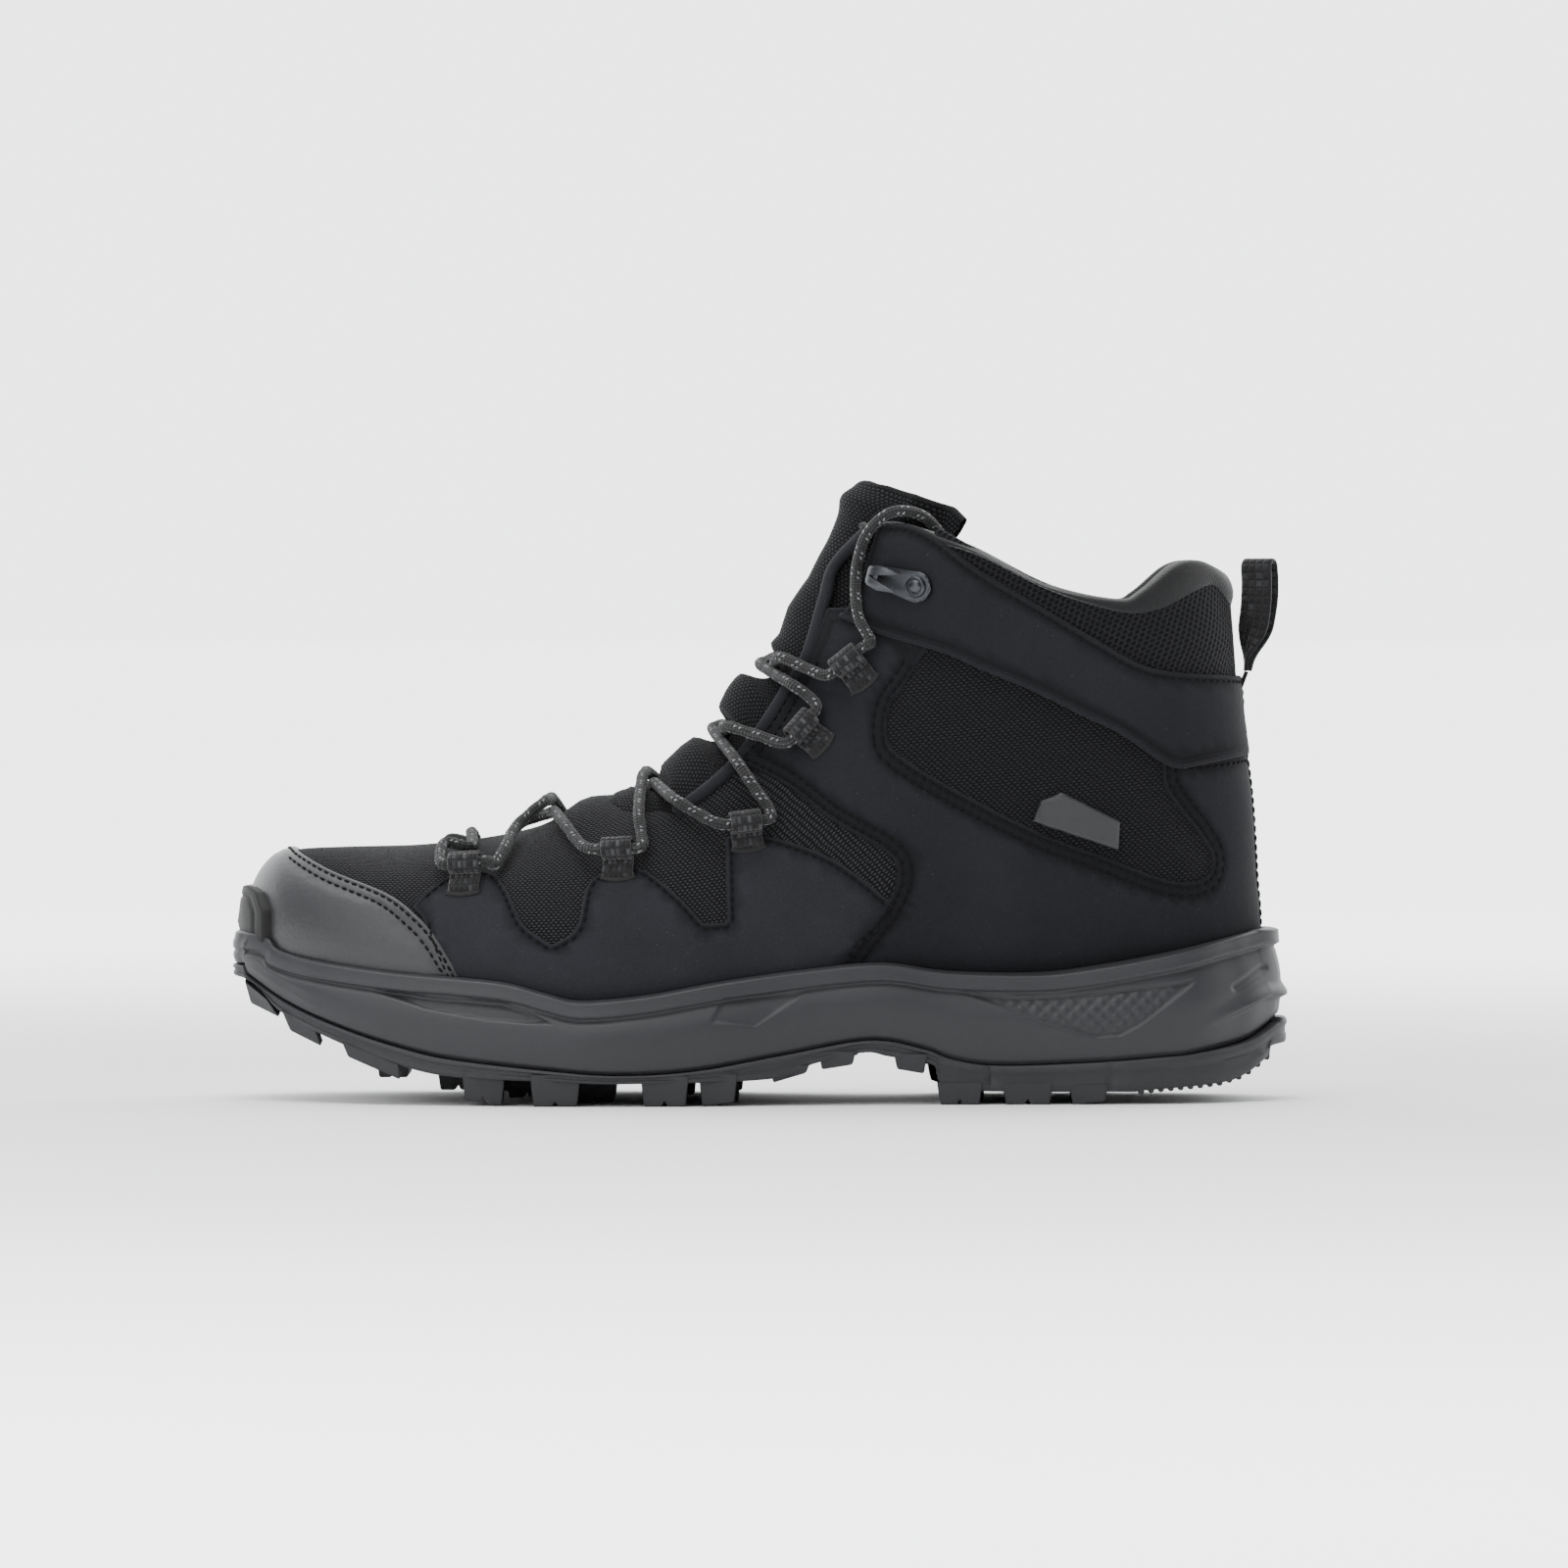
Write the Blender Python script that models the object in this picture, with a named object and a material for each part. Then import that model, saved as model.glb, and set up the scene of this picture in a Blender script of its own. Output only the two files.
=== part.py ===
"""A left mid-cut hiking boot, built as its separate pieces.

Frame: metres, +Z up, toe towards -X, outer (lateral) side towards -Y, soles on z = 0.
The upper is built on the surface of a shoe last.  Each layer of it is a thin shell between
two offsets from that surface, cut to a panel by a prism with the panel's side-view outline.
Offsets grow outwards: 0 is the boot's outer skin, and lining and foam lie at negative ones.
Lengths in the tables are millimetres; every point is scaled to metres where it is made.
"""
import math

import bmesh
import bpy
import numpy as np
from mathutils import Matrix, Vector

MM = 0.001

# ---------------------------------------------------------------- driving dimensions (mm)
CENTRE_LINE = 3.0              # y of the heel's centre, so that the sole's box centres on y = 0
LACE_DIAMETER = 3.4
GAP = 0.3                      # clearance between pieces that touch on the real boot
TREAD_CHAMFER = 1.2
WEB_THICKNESS = 1.1            # lace loops and pull loop are woven tape
LOOP_WIDTH = 9.0
LOOP_STRAIGHT = 6.8            # the lace runs straight this far each side of a loop's middle
PULL_LOOP_WIDTH = 12.0
AGLET_LENGTH = 16.0
AGLET_DIAMETER = 4.0

# Layers of the upper, (inner offset, outer offset).
OVERLAY = (-1.0, 0.0)
STRAP_LAYER = (-1.0, 0.3)
MESH_LAYER = (-2.1, -1.3)
MEMBRANE_LAYER = (-3.4, -2.4)
STIFFENER_LAYER = (-4.8, -3.7)
BOARD_LAYER = (-2.1, -1.2)
SHANK_LAYER = (-0.9, 0.1)
FOOTBED_THICKNESS = 3.6
BUMPER_LAYER = (0.4, 3.0)
MIDSOLE_CUP = 0.35             # the midsole is hollowed this far outside the skin
LINING_THICKNESS = 0.8
LINING_AT_FOOT = -5.1
LINING_AT_COLLAR = -7.2
TONGUE_THICKNESS = 4.5

# The last, from toe to collar.  Each station is a flat section through the boot:
# front/top point x, z; back/bottom point x, z; half width; sideways shift; where along the
# section it is widest; roundness of the front half; roundness of the back half.
STATIONS = np.array([
    (-149.5, 51.5, -149.5, 51.5, 0.0, 6.0, 0.50, 2.0, 2.0),
    (-147.5, 62.5, -146.0, 39.0, 13.0, 6.0, 0.55, 2.0, 2.1),
    (-142.5, 70.0, -140.5, 33.5, 21.5, 5.3, 0.58, 2.1, 2.3),
    (-135.5, 73.5, -132.5, 29.5, 28.0, 4.2, 0.60, 2.1, 2.5),
    (-121.0, 74.5, -118.0, 25.0, 35.5, 2.5, 0.62, 2.1, 2.6),
    (-101.0, 75.0, -98.0, 21.0, 42.0, 1.0, 0.62, 2.1, 2.6),
    (-78.0, 77.5, -75.5, 17.5, 46.5, -0.8, 0.64, 2.1, 2.6),
    (-58.5, 82.0, -52.5, 16.5, 48.3, -2.5, 0.66, 2.1, 2.6),
    (-38.5, 89.5, -27.0, 17.5, 46.7, -4.2, 0.67, 2.1, 2.6),
    (-24.0, 100.0, 1.5, 20.5, 42.0, -5.0, 0.68, 2.1, 2.6),
    (-14.0, 109.5, 30.5, 24.5, 37.4, -4.0, 0.66, 2.1, 2.6),
    (-8.5, 119.5, 59.0, 26.0, 35.4, -3.0, 0.62, 2.1, 2.6),
    (-2.5, 126.0, 87.5, 25.0, 34.8, -1.8, 0.60, 2.1, 2.6),
    (3.0, 133.0, 116.0, 25.0, 35.3, -0.9, 0.58, 2.1, 2.5),
    (7.5, 141.0, 137.5, 29.5, 35.4, -0.4, 0.56, 2.1, 2.4),
    (11.5, 148.0, 146.0, 46.0, 35.0, -0.2, 0.54, 2.1, 2.3),
    (16.0, 155.0, 145.5, 66.0, 35.0, 0.0, 0.52, 2.1, 2.2),
    (20.5, 162.0, 144.0, 89.0, 35.6, 0.0, 0.50, 2.1, 2.2),
    (24.0, 169.0, 141.0, 111.5, 37.0, 0.0, 0.50, 2.1, 2.2),
    (27.0, 174.5, 139.5, 131.5, 38.2, 0.0, 0.50, 2.1, 2.2),
    (30.5, 180.0, 137.5, 157.5, 39.0, 0.0, 0.50, 2.1, 2.2),
    (33.0, 187.0, 136.5, 168.0, 39.0, 0.0, 0.50, 2.1, 2.2),
])
LAST_ROW = len(STATIONS) - 1
ROWS = [0.0] + [float(i) for i in range(1, LAST_ROW + 1)]
COLUMNS = 16

# Lines along the sole, (x, z) from toe to heel.
FEATHER = [(-150.5, 48), (-141, 43), (-129.5, 40), (-107, 37), (-87, 35.5), (-72.5, 34), (-61, 31),
           (-51, 29), (-32.5, 30.5), (-9.5, 34.5), (13, 37.5), (36, 39.5), (56, 37), (81.5, 36.5),
           (99, 38.5), (121.5, 42.5), (146, 48), (153, 49)]
SOLE_LINE = [(-152.2, 39.5), (-150.2, 37.7), (-135.4, 28.3), (-116.8, 20.8), (-98.2, 15.4),
             (-85.4, 13.1), (-61, 10.5), (-40.6, 9.1), (-18.3, 10.3), (6.6, 14.6), (31.7, 18.8),
             (47.4, 16.3), (56.5, 13.1), (69.7, 11.4), (97.4, 12.3), (115.9, 13.7), (125.9, 14.6),
             (141.9, 17.7), (151.4, 23.1), (153, 24.2)]
TREAD_BASE = [(-152, 36), (-138, 26), (-120.5, 17.5), (-101.8, 11), (-86.6, 8.2), (-62, 7.2),
              (-38.5, 6.5), (3.4, 7.7), (16, 12.0), (30.3, 15.1), (37.4, 14.0), (50.8, 11.2), (53.5, 4.5),
              (104, 3.6), (111.7, 4.0), (133.1, 5.8), (140.5, 7.8), (147.4, 12.6), (153, 16.5)]
# Plan outline of the sole: x, lateral half width, medial half width.
PLAN = [(-152.2, 4.0, 16.0), (-149.5, 11.0, 22.0), (-145, 17.5, 27.0), (-137.5, 25.0, 33.0),
        (-122.5, 36.5, 41.0), (-92.5, 48.5, 48.3), (-62.5, 55.0, 50.5), (-42.5, 56.5, 49.0),
        (-12.5, 53.5, 43.0), (17.5, 47.0, 37.5), (47.5, 42.5, 35.0), (77.5, 40.8, 36.5),
        (107.5, 39.8, 38.5), (127.5, 35.5, 35.0), (140.5, 25.5, 25.5), (147.5, 17.0, 17.0),
        (152.5, 7.0, 7.0)]

# Side-view outlines of the panels, (x, z).
THROAT = [(-24, 84.5), (-9.5, 96), (0.5, 108), (7.5, 119), (13.5, 129), (18.5, 146),
          (21.5, 156), (31.0, 165.7)]
TONGUE_BASE = [(-46, 92), (-44.5, 86.5), (-38, 80.8), (-30, 81.2)]
COLLAR = [(31.5, 166), (37.5, 168.5), (50.5, 164.5), (62.5, 160), (84, 149.5), (104.5, 145.5),
          (111.5, 148), (121.5, 155.5), (128.5, 157), (135.5, 154), (145, 147)]
STRAP_LOW = [(24, 141), (36, 136), (53, 131), (64.5, 126), (79, 120), (93, 113), (104.5, 107.5),
             (119, 98), (141.5, 101), (160, 101)]
STRAP_TOP = [(37.5, 168), (50.5, 164), (64.5, 153.5), (81.5, 143.5), (99, 133), (110, 127),
             (121.5, 124.5), (139.5, 123.5), (160, 123.5)]
STRAP_FRONT = [(24.4, 142), (28.8, 149), (34.6, 164.5)]
TOE_CAP_EDGE = [(-138, 82), (-134, 72.5), (-124, 67.5), (-107, 61), (-98, 54.5), (-92.5, 48.5),
                (-85, 35.5), (-80, 24)]
MUDGUARD = [(-97.2, 55.6), (-99, 58), (-89.5, 66), (-78, 67.5), (-72.5, 62.5), (-67.5, 52.5),
            (-59.5, 46.5), (-52.5, 51.5), (-48.5, 65), (-35.5, 69), (-24, 61.5), (-15.5, 52.5),
            (-9, 53), (-9.5, 76.5), (3, 77), (21.5, 71), (36, 62), (39, 59), (30.5, 49), (21.4, 39.5),
            (20.5, 31), (-10, 27.5), (-32, 24), (-51, 22.5), (-72, 27), (-80.5, 29), (-84, 35.5),
            (-91.5, 48.8)]
QUARTER = [(-5.0, 95.0), (7.5, 92), (21.5, 81.5), (36, 73.5), (40.6, 68.5), (40.2, 59.6),
           (31.2, 48.6), (22.2, 39.2), (21.4, 31.5), (50, 30), (81, 30), (100, 32), (122, 36.5),
           (146, 42), (160, 42), (160, 100.4), (141.5, 100.4), (119, 97.4), (116.3, 97.2),
           (117.5, 90), (127.5, 77.5), (131.5, 70.5), (129, 65), (119, 64.5), (79, 79.5), (53, 93),
           (37.5, 104.5), (37.5, 113), (43, 121.5), (48.5, 129.5), (49, 131.6), (36, 135.4),
           (24, 140.2), (17.6, 127.3), (11.2, 117), (4.2, 106)]
ANKLE_MESH = [(33, 116), (33, 102), (50, 89), (78, 75.5), (118, 60.5), (131, 61), (135.5, 70),
              (131, 81), (122, 91.5), (120.5, 101), (106, 111), (80, 123.5), (53, 134.5), (43, 131)]
LABEL = [(81.5, 87.5), (87.5, 90), (104.5, 81.5), (104, 73), (79, 81.5)]

# Lace loops: where the lace runs through (x, z) and which way the tape hangs (x, z).
LOOPS = [((-84.0, 66.5), (0.05, -1.0)), ((-39.8, 71.5), (0.05, -1.0)),
         ((-4.0, 80.0), (0.12, -1.0)), ((12.8, 107.4), (0.75, -0.66)),
         ((26.6, 127.0), (0.62, -0.78))]
LOOP_TAIL = [5.6, 4.4, 3.6, 4.8, 4.8]
# Where the two strands cross over the tongue, as stations of the last, and the height of the
# lower strand there.  The first is the bar across the vamp.
CROSSINGS = [5.75, 6.94, 8.4, 10.0, 12.35]
CROSSING_LIFTS = [1.4, 1.9, -2.4, -5.7, -5.7]
CROSSING_STEP = 0.06           # stations gained on each side of a crossing
CROSSING_SPREAD = 0.16         # radians out from the middle, on each side of a crossing
CROSSING_SAG = 0.4             # how much lower the middle of a crossing lies
# Points of the lace beside its loops, seen from the side (x, z).
LACE_VIA = {"before_1": [(-90.5, 72.5)], "after_1": [(-75.5, 66.8), (-72.5, 71.5), (-69.5, 77.0)],
            "before_2": [(-55.5, 78.5), (-50.5, 73.0)], "after_2": [(-33.2, 76.5), (-33.6, 82.5)],
            "before_3": [(-24.0, 86.5), (-16.5, 82.0)],
            "after_3": [(2.9, 84.5), (-0.5, 89.5), (-6.0, 98.0)],
            "before_4": [(-8.0, 107.5), (0.5, 105.0)], "after_4": [(15.5, 116.2), (10.0, 120.0)],
            "before_5": [(7.5, 127.5), (15.0, 124.6)]}
TONGUE_HINGE = (4.0, 137.0)    # x, z of the fold line across the tongue
PULL_HINGE = (142.6, 124.5)    # x, z of the sewn foot of the pull loop
HOOK_PLACE = (42.5, 150.2)
HOOK_LEAN = math.radians(-14)  # the hook plate tips nose up

COLOURS = {
    "rubber": ((0.018, 0.018, 0.020), 0.62, 0.0),
    "eva": ((0.045, 0.046, 0.050), 0.55, 0.0),
    "nubuck": ((0.012, 0.012, 0.013), 0.88, 0.0),
    "leather": ((0.022, 0.022, 0.024), 0.42, 0.0),
    "mesh": ((0.010, 0.010, 0.011), 0.92, 0.0),
    "lining": ((0.012, 0.012, 0.013), 0.85, 0.0),
    "foam": ((0.20, 0.20, 0.20), 0.95, 0.0),
    "stiffener": ((0.55, 0.53, 0.50), 0.7, 0.0),
    "board": ((0.45, 0.40, 0.30), 0.85, 0.0),
    "steel": ((0.55, 0.56, 0.58), 0.35, 1.0),
    "gunmetal": ((0.05, 0.05, 0.055), 0.32, 1.0),
    "tape": ((0.014, 0.014, 0.015), 0.85, 0.0),
    "lace": ((0.030, 0.030, 0.031), 0.85, 0.0),
    "plastic": ((0.010, 0.010, 0.010), 0.30, 0.0),
    "label": ((0.060, 0.062, 0.066), 0.55, 0.0),
}


# ------------------------------------------------------------------------- small helpers
def clear_scene():
    for obj in list(bpy.data.objects):
        bpy.data.objects.remove(obj, do_unlink=True)


def new_collection(name):
    collection = bpy.data.collections.new(name)
    bpy.context.scene.collection.children.link(collection)
    return collection


def make_materials():
    made = {}
    for name, (colour, roughness, metallic) in COLOURS.items():
        material = bpy.data.materials.new(name)
        material.use_nodes = True
        shader = material.node_tree.nodes["Principled BSDF"]
        shader.inputs["Base Color"].default_value = (*colour, 1.0)
        shader.inputs["Roughness"].default_value = roughness
        shader.inputs["Metallic"].default_value = metallic
        made[name] = material
    return made


def smoothstep(low, high, value):
    t = min(max((value - low) / (high - low), 0.0), 1.0)
    return t * t * (3.0 - 2.0 * t)


def read_line(line, x):
    """Height of a side-view line at x."""
    xs, zs = zip(*line)
    return float(np.interp(x, xs, zs))


def shifted(line, dx, dz):
    return [(x + dx, z + dz) for x, z in line]


def to_object(bm, name, material, collection):
    """Turn a bmesh in millimetres into an object in metres."""
    bmesh.ops.scale(bm, vec=(MM, MM, MM), verts=bm.verts)
    bmesh.ops.recalc_face_normals(bm, faces=bm.faces)
    mesh = bpy.data.meshes.new(name)
    bm.to_mesh(mesh)
    bm.free()
    obj = bpy.data.objects.new(name, mesh)
    if material is not None:
        mesh.materials.append(material)
    collection.objects.link(obj)
    return obj


def smooth_shading(obj, degrees=35.0):
    obj.data.shade_smooth()
    obj.data.set_sharp_from_angle(angle=math.radians(degrees))


def boolean(obj, cutter, operation):
    modifier = obj.modifiers.new(cutter.name, "BOOLEAN")
    modifier.object = cutter
    modifier.operation = operation
    modifier.solver = "EXACT"


# ------------------------------------------------------------------------------ the last
def station(u):
    """All nine values of the last at the fractional station u, on a smooth curve."""
    i = int(min(max(u, 0.0), LAST_ROW - 1e-9))
    f = u - i
    p1, p2 = STATIONS[i], STATIONS[i + 1]
    p0 = STATIONS[i - 1] if i > 0 else 2 * p1 - p2
    p3 = STATIONS[i + 2] if i + 2 <= LAST_ROW else 2 * p2 - p1
    return 0.5 * (2 * p1 + (p2 - p0) * f + (2 * p0 - 5 * p1 + 4 * p2 - p3) * f * f
                  + (3 * p1 - p0 - 3 * p2 + p3) * f ** 3)


def skin(u, angle):
    """Point of the outer skin.  Angle 0 is front/top, +-pi is back/bottom, negative lateral."""
    fx, fz, bx, bz, width, shift, widest, front_power, back_power = station(u)
    shift += CENTRE_LINE
    t = min(abs(angle), math.pi)
    side = -1.0 if angle < 0 else 1.0
    if t <= math.pi / 2:
        along = widest * (1 - max(math.cos(t), 0.0) ** (2 / front_power))
        across = width * math.sin(t) ** (2 / front_power)
    else:
        along = widest + (1 - widest) * abs(math.cos(t)) ** (2 / back_power)
        across = width * max(math.sin(t), 0.0) ** (2 / back_power)
    return Vector((fx + (bx - fx) * along, shift + side * across, fz + (bz - fz) * along))


def skin_normal(u, angle):
    """Outward unit normal of the skin."""
    if u < 0.05:
        return Vector((-1.0, 0.0, 0.0))
    step = 0.03
    u0, u1 = max(u - step, 0.02), min(u + step, LAST_ROW)
    along = skin(u1, angle) - skin(u0, angle)
    around = skin(u, angle + step) - skin(u, angle - step) if abs(angle) < math.pi - step \
        else skin(u, -math.pi + step) - skin(u, math.pi - step)
    normal = around.cross(along)
    normal.normalize()
    fx, fz, bx, bz, _, shift, _, _, _ = station(u)
    centre = Vector(((fx + bx) / 2, shift + CENTRE_LINE, (fz + bz) / 2))
    if normal.dot(skin(u, angle) - centre) < 0:
        normal.negate()
    return normal


def place_on_last(x, z):
    """Station and angle (0..pi) of the skin point seen from the side at x, z."""
    def side_of_section(u):
        fx, fz, bx, bz = station(u)[:4]
        return (bx - fx) * (z - fz) - (bz - fz) * (x - fx)
    low, high = 0.3, float(LAST_ROW)
    for _ in range(40):
        middle = (low + high) / 2
        if side_of_section(middle) > 0:
            low = middle
        else:
            high = middle
    fx, fz, bx, bz, _, _, widest, front_power, back_power = station(low)
    length_squared = (bx - fx) ** 2 + (bz - fz) ** 2
    along = ((x - fx) * (bx - fx) + (z - fz) * (bz - fz)) / length_squared
    along = min(max(along, 0.0), 1.0)
    if along <= widest:
        angle = math.acos(min(1.0, (1 - along / widest) ** (front_power / 2)))
    else:
        angle = math.pi - math.acos(((along - widest) / (1 - widest)) ** (back_power / 2))
    return low, angle


def on_skin(x, z, side, lift):
    """Point at a height above the skin, on the lateral (-1) or medial (+1) side."""
    u, angle = place_on_last(x, z)
    return skin(u, side * angle) + skin_normal(u, side * angle) * lift


# --------------------------------------------------------------------- shells and panels
def shell_mesh(inner, outer, rows=None, columns=None, ring=True):
    """Closed solid between two offsets.  inner and outer are numbers or functions (u, angle)."""
    rows = ROWS if rows is None else rows
    if columns is None:
        columns = [-math.pi + 2 * math.pi * k / COLUMNS for k in range(COLUMNS)]
    bm = bmesh.new()

    def layer(offset):
        grid = []
        for u in rows:
            if u == 0.0:
                value = offset(u, 0.0) if callable(offset) else offset
                tip = bm.verts.new(skin(0.0, 0.0) + skin_normal(0.0, 0.0) * value)
                grid.append([tip] * len(columns))
                continue
            ring_verts = []
            for angle in columns:
                value = offset(u, angle) if callable(offset) else offset
                ring_verts.append(bm.verts.new(skin(u, angle) + skin_normal(u, angle) * value))
            grid.append(ring_verts)
        return grid

    def face(*corners):
        unique = list(dict.fromkeys(corners))
        if len(unique) >= 3:
            bm.faces.new(unique)

    def split(a, b, c, d):
        face(a, b, c)
        face(a, c, d)

    low, high = layer(inner), layer(outer)
    count = len(columns)
    spans = count if ring else count - 1
    for i in range(len(rows) - 1):
        for k in range(spans):
            n = (k + 1) % count
            split(high[i][k], high[i][n], high[i + 1][n], high[i + 1][k])
            split(low[i][k], low[i + 1][k], low[i + 1][n], low[i][n])
    ends = [len(rows) - 1] if rows[0] == 0.0 else [0, len(rows) - 1]
    for i in ends:
        for k in range(spans):
            n = (k + 1) % count
            split(high[i][k], high[i][n], low[i][n], low[i][k])
    if not ring:
        for k in (0, count - 1):
            for i in range(len(rows) - 1):
                split(high[i][k], high[i + 1][k], low[i + 1][k], low[i][k])
    return bm


def last_solid(offset):
    """The whole last as one closed solid, grown by an offset."""
    bm = bmesh.new()
    columns = [-math.pi + 2 * math.pi * k / COLUMNS for k in range(COLUMNS)]
    tip = bm.verts.new(skin(0.0, 0.0) + skin_normal(0.0, 0.0) * offset)
    rings = [[bm.verts.new(skin(u, a) + skin_normal(u, a) * offset) for a in columns]
             for u in ROWS[1:]]
    for k in range(COLUMNS):
        n = (k + 1) % COLUMNS
        bm.faces.new((tip, rings[0][k], rings[0][n]))
        for low, high in zip(rings, rings[1:]):
            bm.faces.new((low[k], low[n], high[n]))
            bm.faces.new((low[k], high[n], high[k]))
    bm.faces.new(rings[-1])
    return bm


def prism(name, outline, y_low, y_high):
    """Cutter with a side-view outline, from y_low to y_high."""
    bm = bmesh.new()
    near = [bm.verts.new((x, y_low, z)) for x, z in outline]
    far = [bm.verts.new((x, y_high, z)) for x, z in outline]
    bm.faces.new(near)
    bm.faces.new(list(reversed(far)))
    for k in range(len(outline)):
        n = (k + 1) % len(outline)
        bm.faces.new((near[k], near[n], far[n], far[k]))
    cutter = to_object(bm, name, None, cutters)
    cutter.hide_render = True
    cutter.display_type = "WIRE"
    return cutter


SIDES = {"both": (-90.0, 90.0), "lateral": (-90.0, CENTRE_LINE - 0.25),
         "medial": (CENTRE_LINE + 0.25, 90.0)}


def panel(name, layer, outline, material, side="both", cut=None, **shell):
    """A piece of one layer of the upper, cut to its side-view outline."""
    piece = to_object(shell_mesh(layer[0], layer[1], **shell), name, materials[material], parts)
    boolean(piece, prism(name + "_outline", outline, *SIDES[side]), "INTERSECT")
    if cut is not None:
        boolean(piece, prism(name + "_opening", cut, *SIDES["both"]), "DIFFERENCE")
    smooth_shading(piece)
    return piece


def lining_outer(u, _angle=0.0):
    return LINING_AT_FOOT + (LINING_AT_COLLAR - LINING_AT_FOOT) * smoothstep(12.0, 16.0, u)


def lining_inner(u, _angle=0.0):
    return lining_outer(u) - LINING_THICKNESS


def foam_inner(u, _angle=0.0):
    return lining_outer(u) + GAP


def footbed_top(u, _angle=0.0):
    return lining_inner(u) - GAP - FOOTBED_THICKNESS


def footbed_underside(u, _angle=0.0):
    return lining_inner(u) - GAP


def throat_opening(back):
    """Side-view area in front of the throat edge, which moves back by a distance."""
    edge = shifted(THROAT, back * 0.85, -back * 0.5)
    front = [(x - back, z - back) for x, z in TONGUE_BASE]
    return edge + [(COLLAR[0][0] + back, 200.0), (TONGUE_BASE[0][0] - back, 200.0)] + front


def below_collar(drop):
    """Collar line, lowered, from the throat to behind the heel."""
    return shifted(COLLAR, 0.0, -drop)


def make_upper():
    toe_edge = TOE_CAP_EDGE + [(-165, 24), (-165, 82)]
    panel("toe_cap", OVERLAY, toe_edge, "leather")
    vamp = [(-165, 26), (-165, 95), (-47, 95)] + TONGUE_BASE + [(-23, 85.3), (-9, 97), (0.8, 109),
            (7.6, 119.6), (14, 129), (26, 112), (32.2, 101.5), (45, 90), (47, 62), (40, 45), (34, 31)]
    vamp += [(x, read_line(FEATHER, x) - 7.5) for x in (10, -20, -51, -80, -110, -135)]
    panel("vamp_mesh", MESH_LAYER, vamp, "mesh")
    collar = [(60.5, 152.5)] + [p for p in shifted(STRAP_TOP, 0, -4) if p[0] > 62]
    collar += [p for p in reversed(below_collar(6.4)) if p[0] > 62] + [(60.5, 154.2)]
    panel("collar_mesh", MESH_LAYER, collar, "mesh")
    for side in ("lateral", "medial"):
        panel("mudguard_" + side, OVERLAY, MUDGUARD, "nubuck", side)
        panel("quarter_" + side, OVERLAY, QUARTER, "nubuck", side)
        panel("ankle_mesh_" + side, MESH_LAYER, ANKLE_MESH, "mesh", side)
        strap = STRAP_FRONT[::-1] + STRAP_LOW + list(reversed(STRAP_TOP))
        panel("ankle_strap_" + side, STRAP_LAYER, strap, "nubuck", side)
        eyestay = THROAT + [(33.8, 163.6), (28.2, 149.4), (23.3, 141.2), (16.9, 127.7),
                            (10.6, 117.4), (3.6, 106.4), (-6.2, 94.3), (-20.0, 82.4)]
        panel("eyestay_" + side, OVERLAY, eyestay, "nubuck", side)
    band = below_collar(6.0)
    binding = COLLAR + list(reversed(band))
    panel("collar_binding", (lining_inner(20.0), OVERLAY[0] - GAP), binding, "lining")


def make_inner_layers():
    everything = [(-170, 0), (-170, 110), (-40, 190), (COLLAR[0][0], 190)] + below_collar(6.4)
    everything += [(170, 140), (170, 0)]
    panel("membrane_bootie", MEMBRANE_LAYER, everything, "lining", cut=throat_opening(0.6))
    panel("lining", (lining_inner, lining_outer), everything, "lining", cut=throat_opening(9.5))
    foam = [(36, 120), (60, 98), (104, 80), (170, 80), (170, 140)]
    foam += list(reversed(below_collar(6.4))) + [(29.5, 150)]
    panel("collar_foam", (foam_inner, STIFFENER_LAYER[1]), foam, "foam",
          rows=[float(i) for i in range(9, LAST_ROW + 1)])
    toe = [(-170, 30), (-170, 90), (-128, 90), (-112, 62), (-104, 40), (-108, 30)]
    panel("toe_puff", STIFFENER_LAYER, toe, "stiffener")
    heel = [(170, 40), (170, 78), (118, 78), (98, 66), (84, 46), (84, 40)]
    panel("heel_counter", STIFFENER_LAYER, heel, "stiffener")
    edge = [(x, read_line(FEATHER, x) - 8.6) for x, _ in FEATHER[2:-1]]
    panel("insole_board", BOARD_LAYER, [(-129.5, -5)] + edge + [(146, -5)], "board")
    rim = [(x, read_line(FEATHER, x) + 3.0) for x, _ in FEATHER[2:-2]]
    rim = [(-129.5, -5)] + rim + [(124, 45.5), (136, 50), (160, 52), (160, -5)]
    panel("footbed", (footbed_top, footbed_underside), rim, "foam",
          rows=[float(i) for i in range(2, LAST_ROW - 2)])
    shank = panel("shank", SHANK_LAYER, [(-20, -5), (-20, 28), (72, 28), (72, -5)], "steel")
    bm = bmesh.new()
    bmesh.ops.create_cube(bm, size=1.0, matrix=Matrix.Translation((26, CENTRE_LINE - 2, 15))
                          @ Matrix.Diagonal((110, 18, 60, 1)))
    strip = to_object(bm, "shank_strip", None, cutters)
    strip.hide_render = True
    strip.display_type = "WIRE"
    boolean(shank, strip, "INTERSECT")


# -------------------------------------------------------------------------------- tongue
def tongue_outer(u, angle):
    """The tongue lies deep under the laces and rises to the skin above them."""
    centre = -5.0 - 5.0 * smoothstep(7.9, 9.6, u) + 8.5 * smoothstep(13.2, 14.8, u)
    margin = -5.0 - 2.5 * smoothstep(14.0, 17.5, u)
    wing = margin - 9.0 * smoothstep(17.6, 18.4, u)
    t = abs(angle)
    inside = centre + (margin - centre) * smoothstep(0.0, 0.6, t)
    return inside + (wing - margin) * smoothstep(0.62, 0.85, t)


def tongue_inner(u, angle):
    return tongue_outer(u, angle) - TONGUE_THICKNESS


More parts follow.
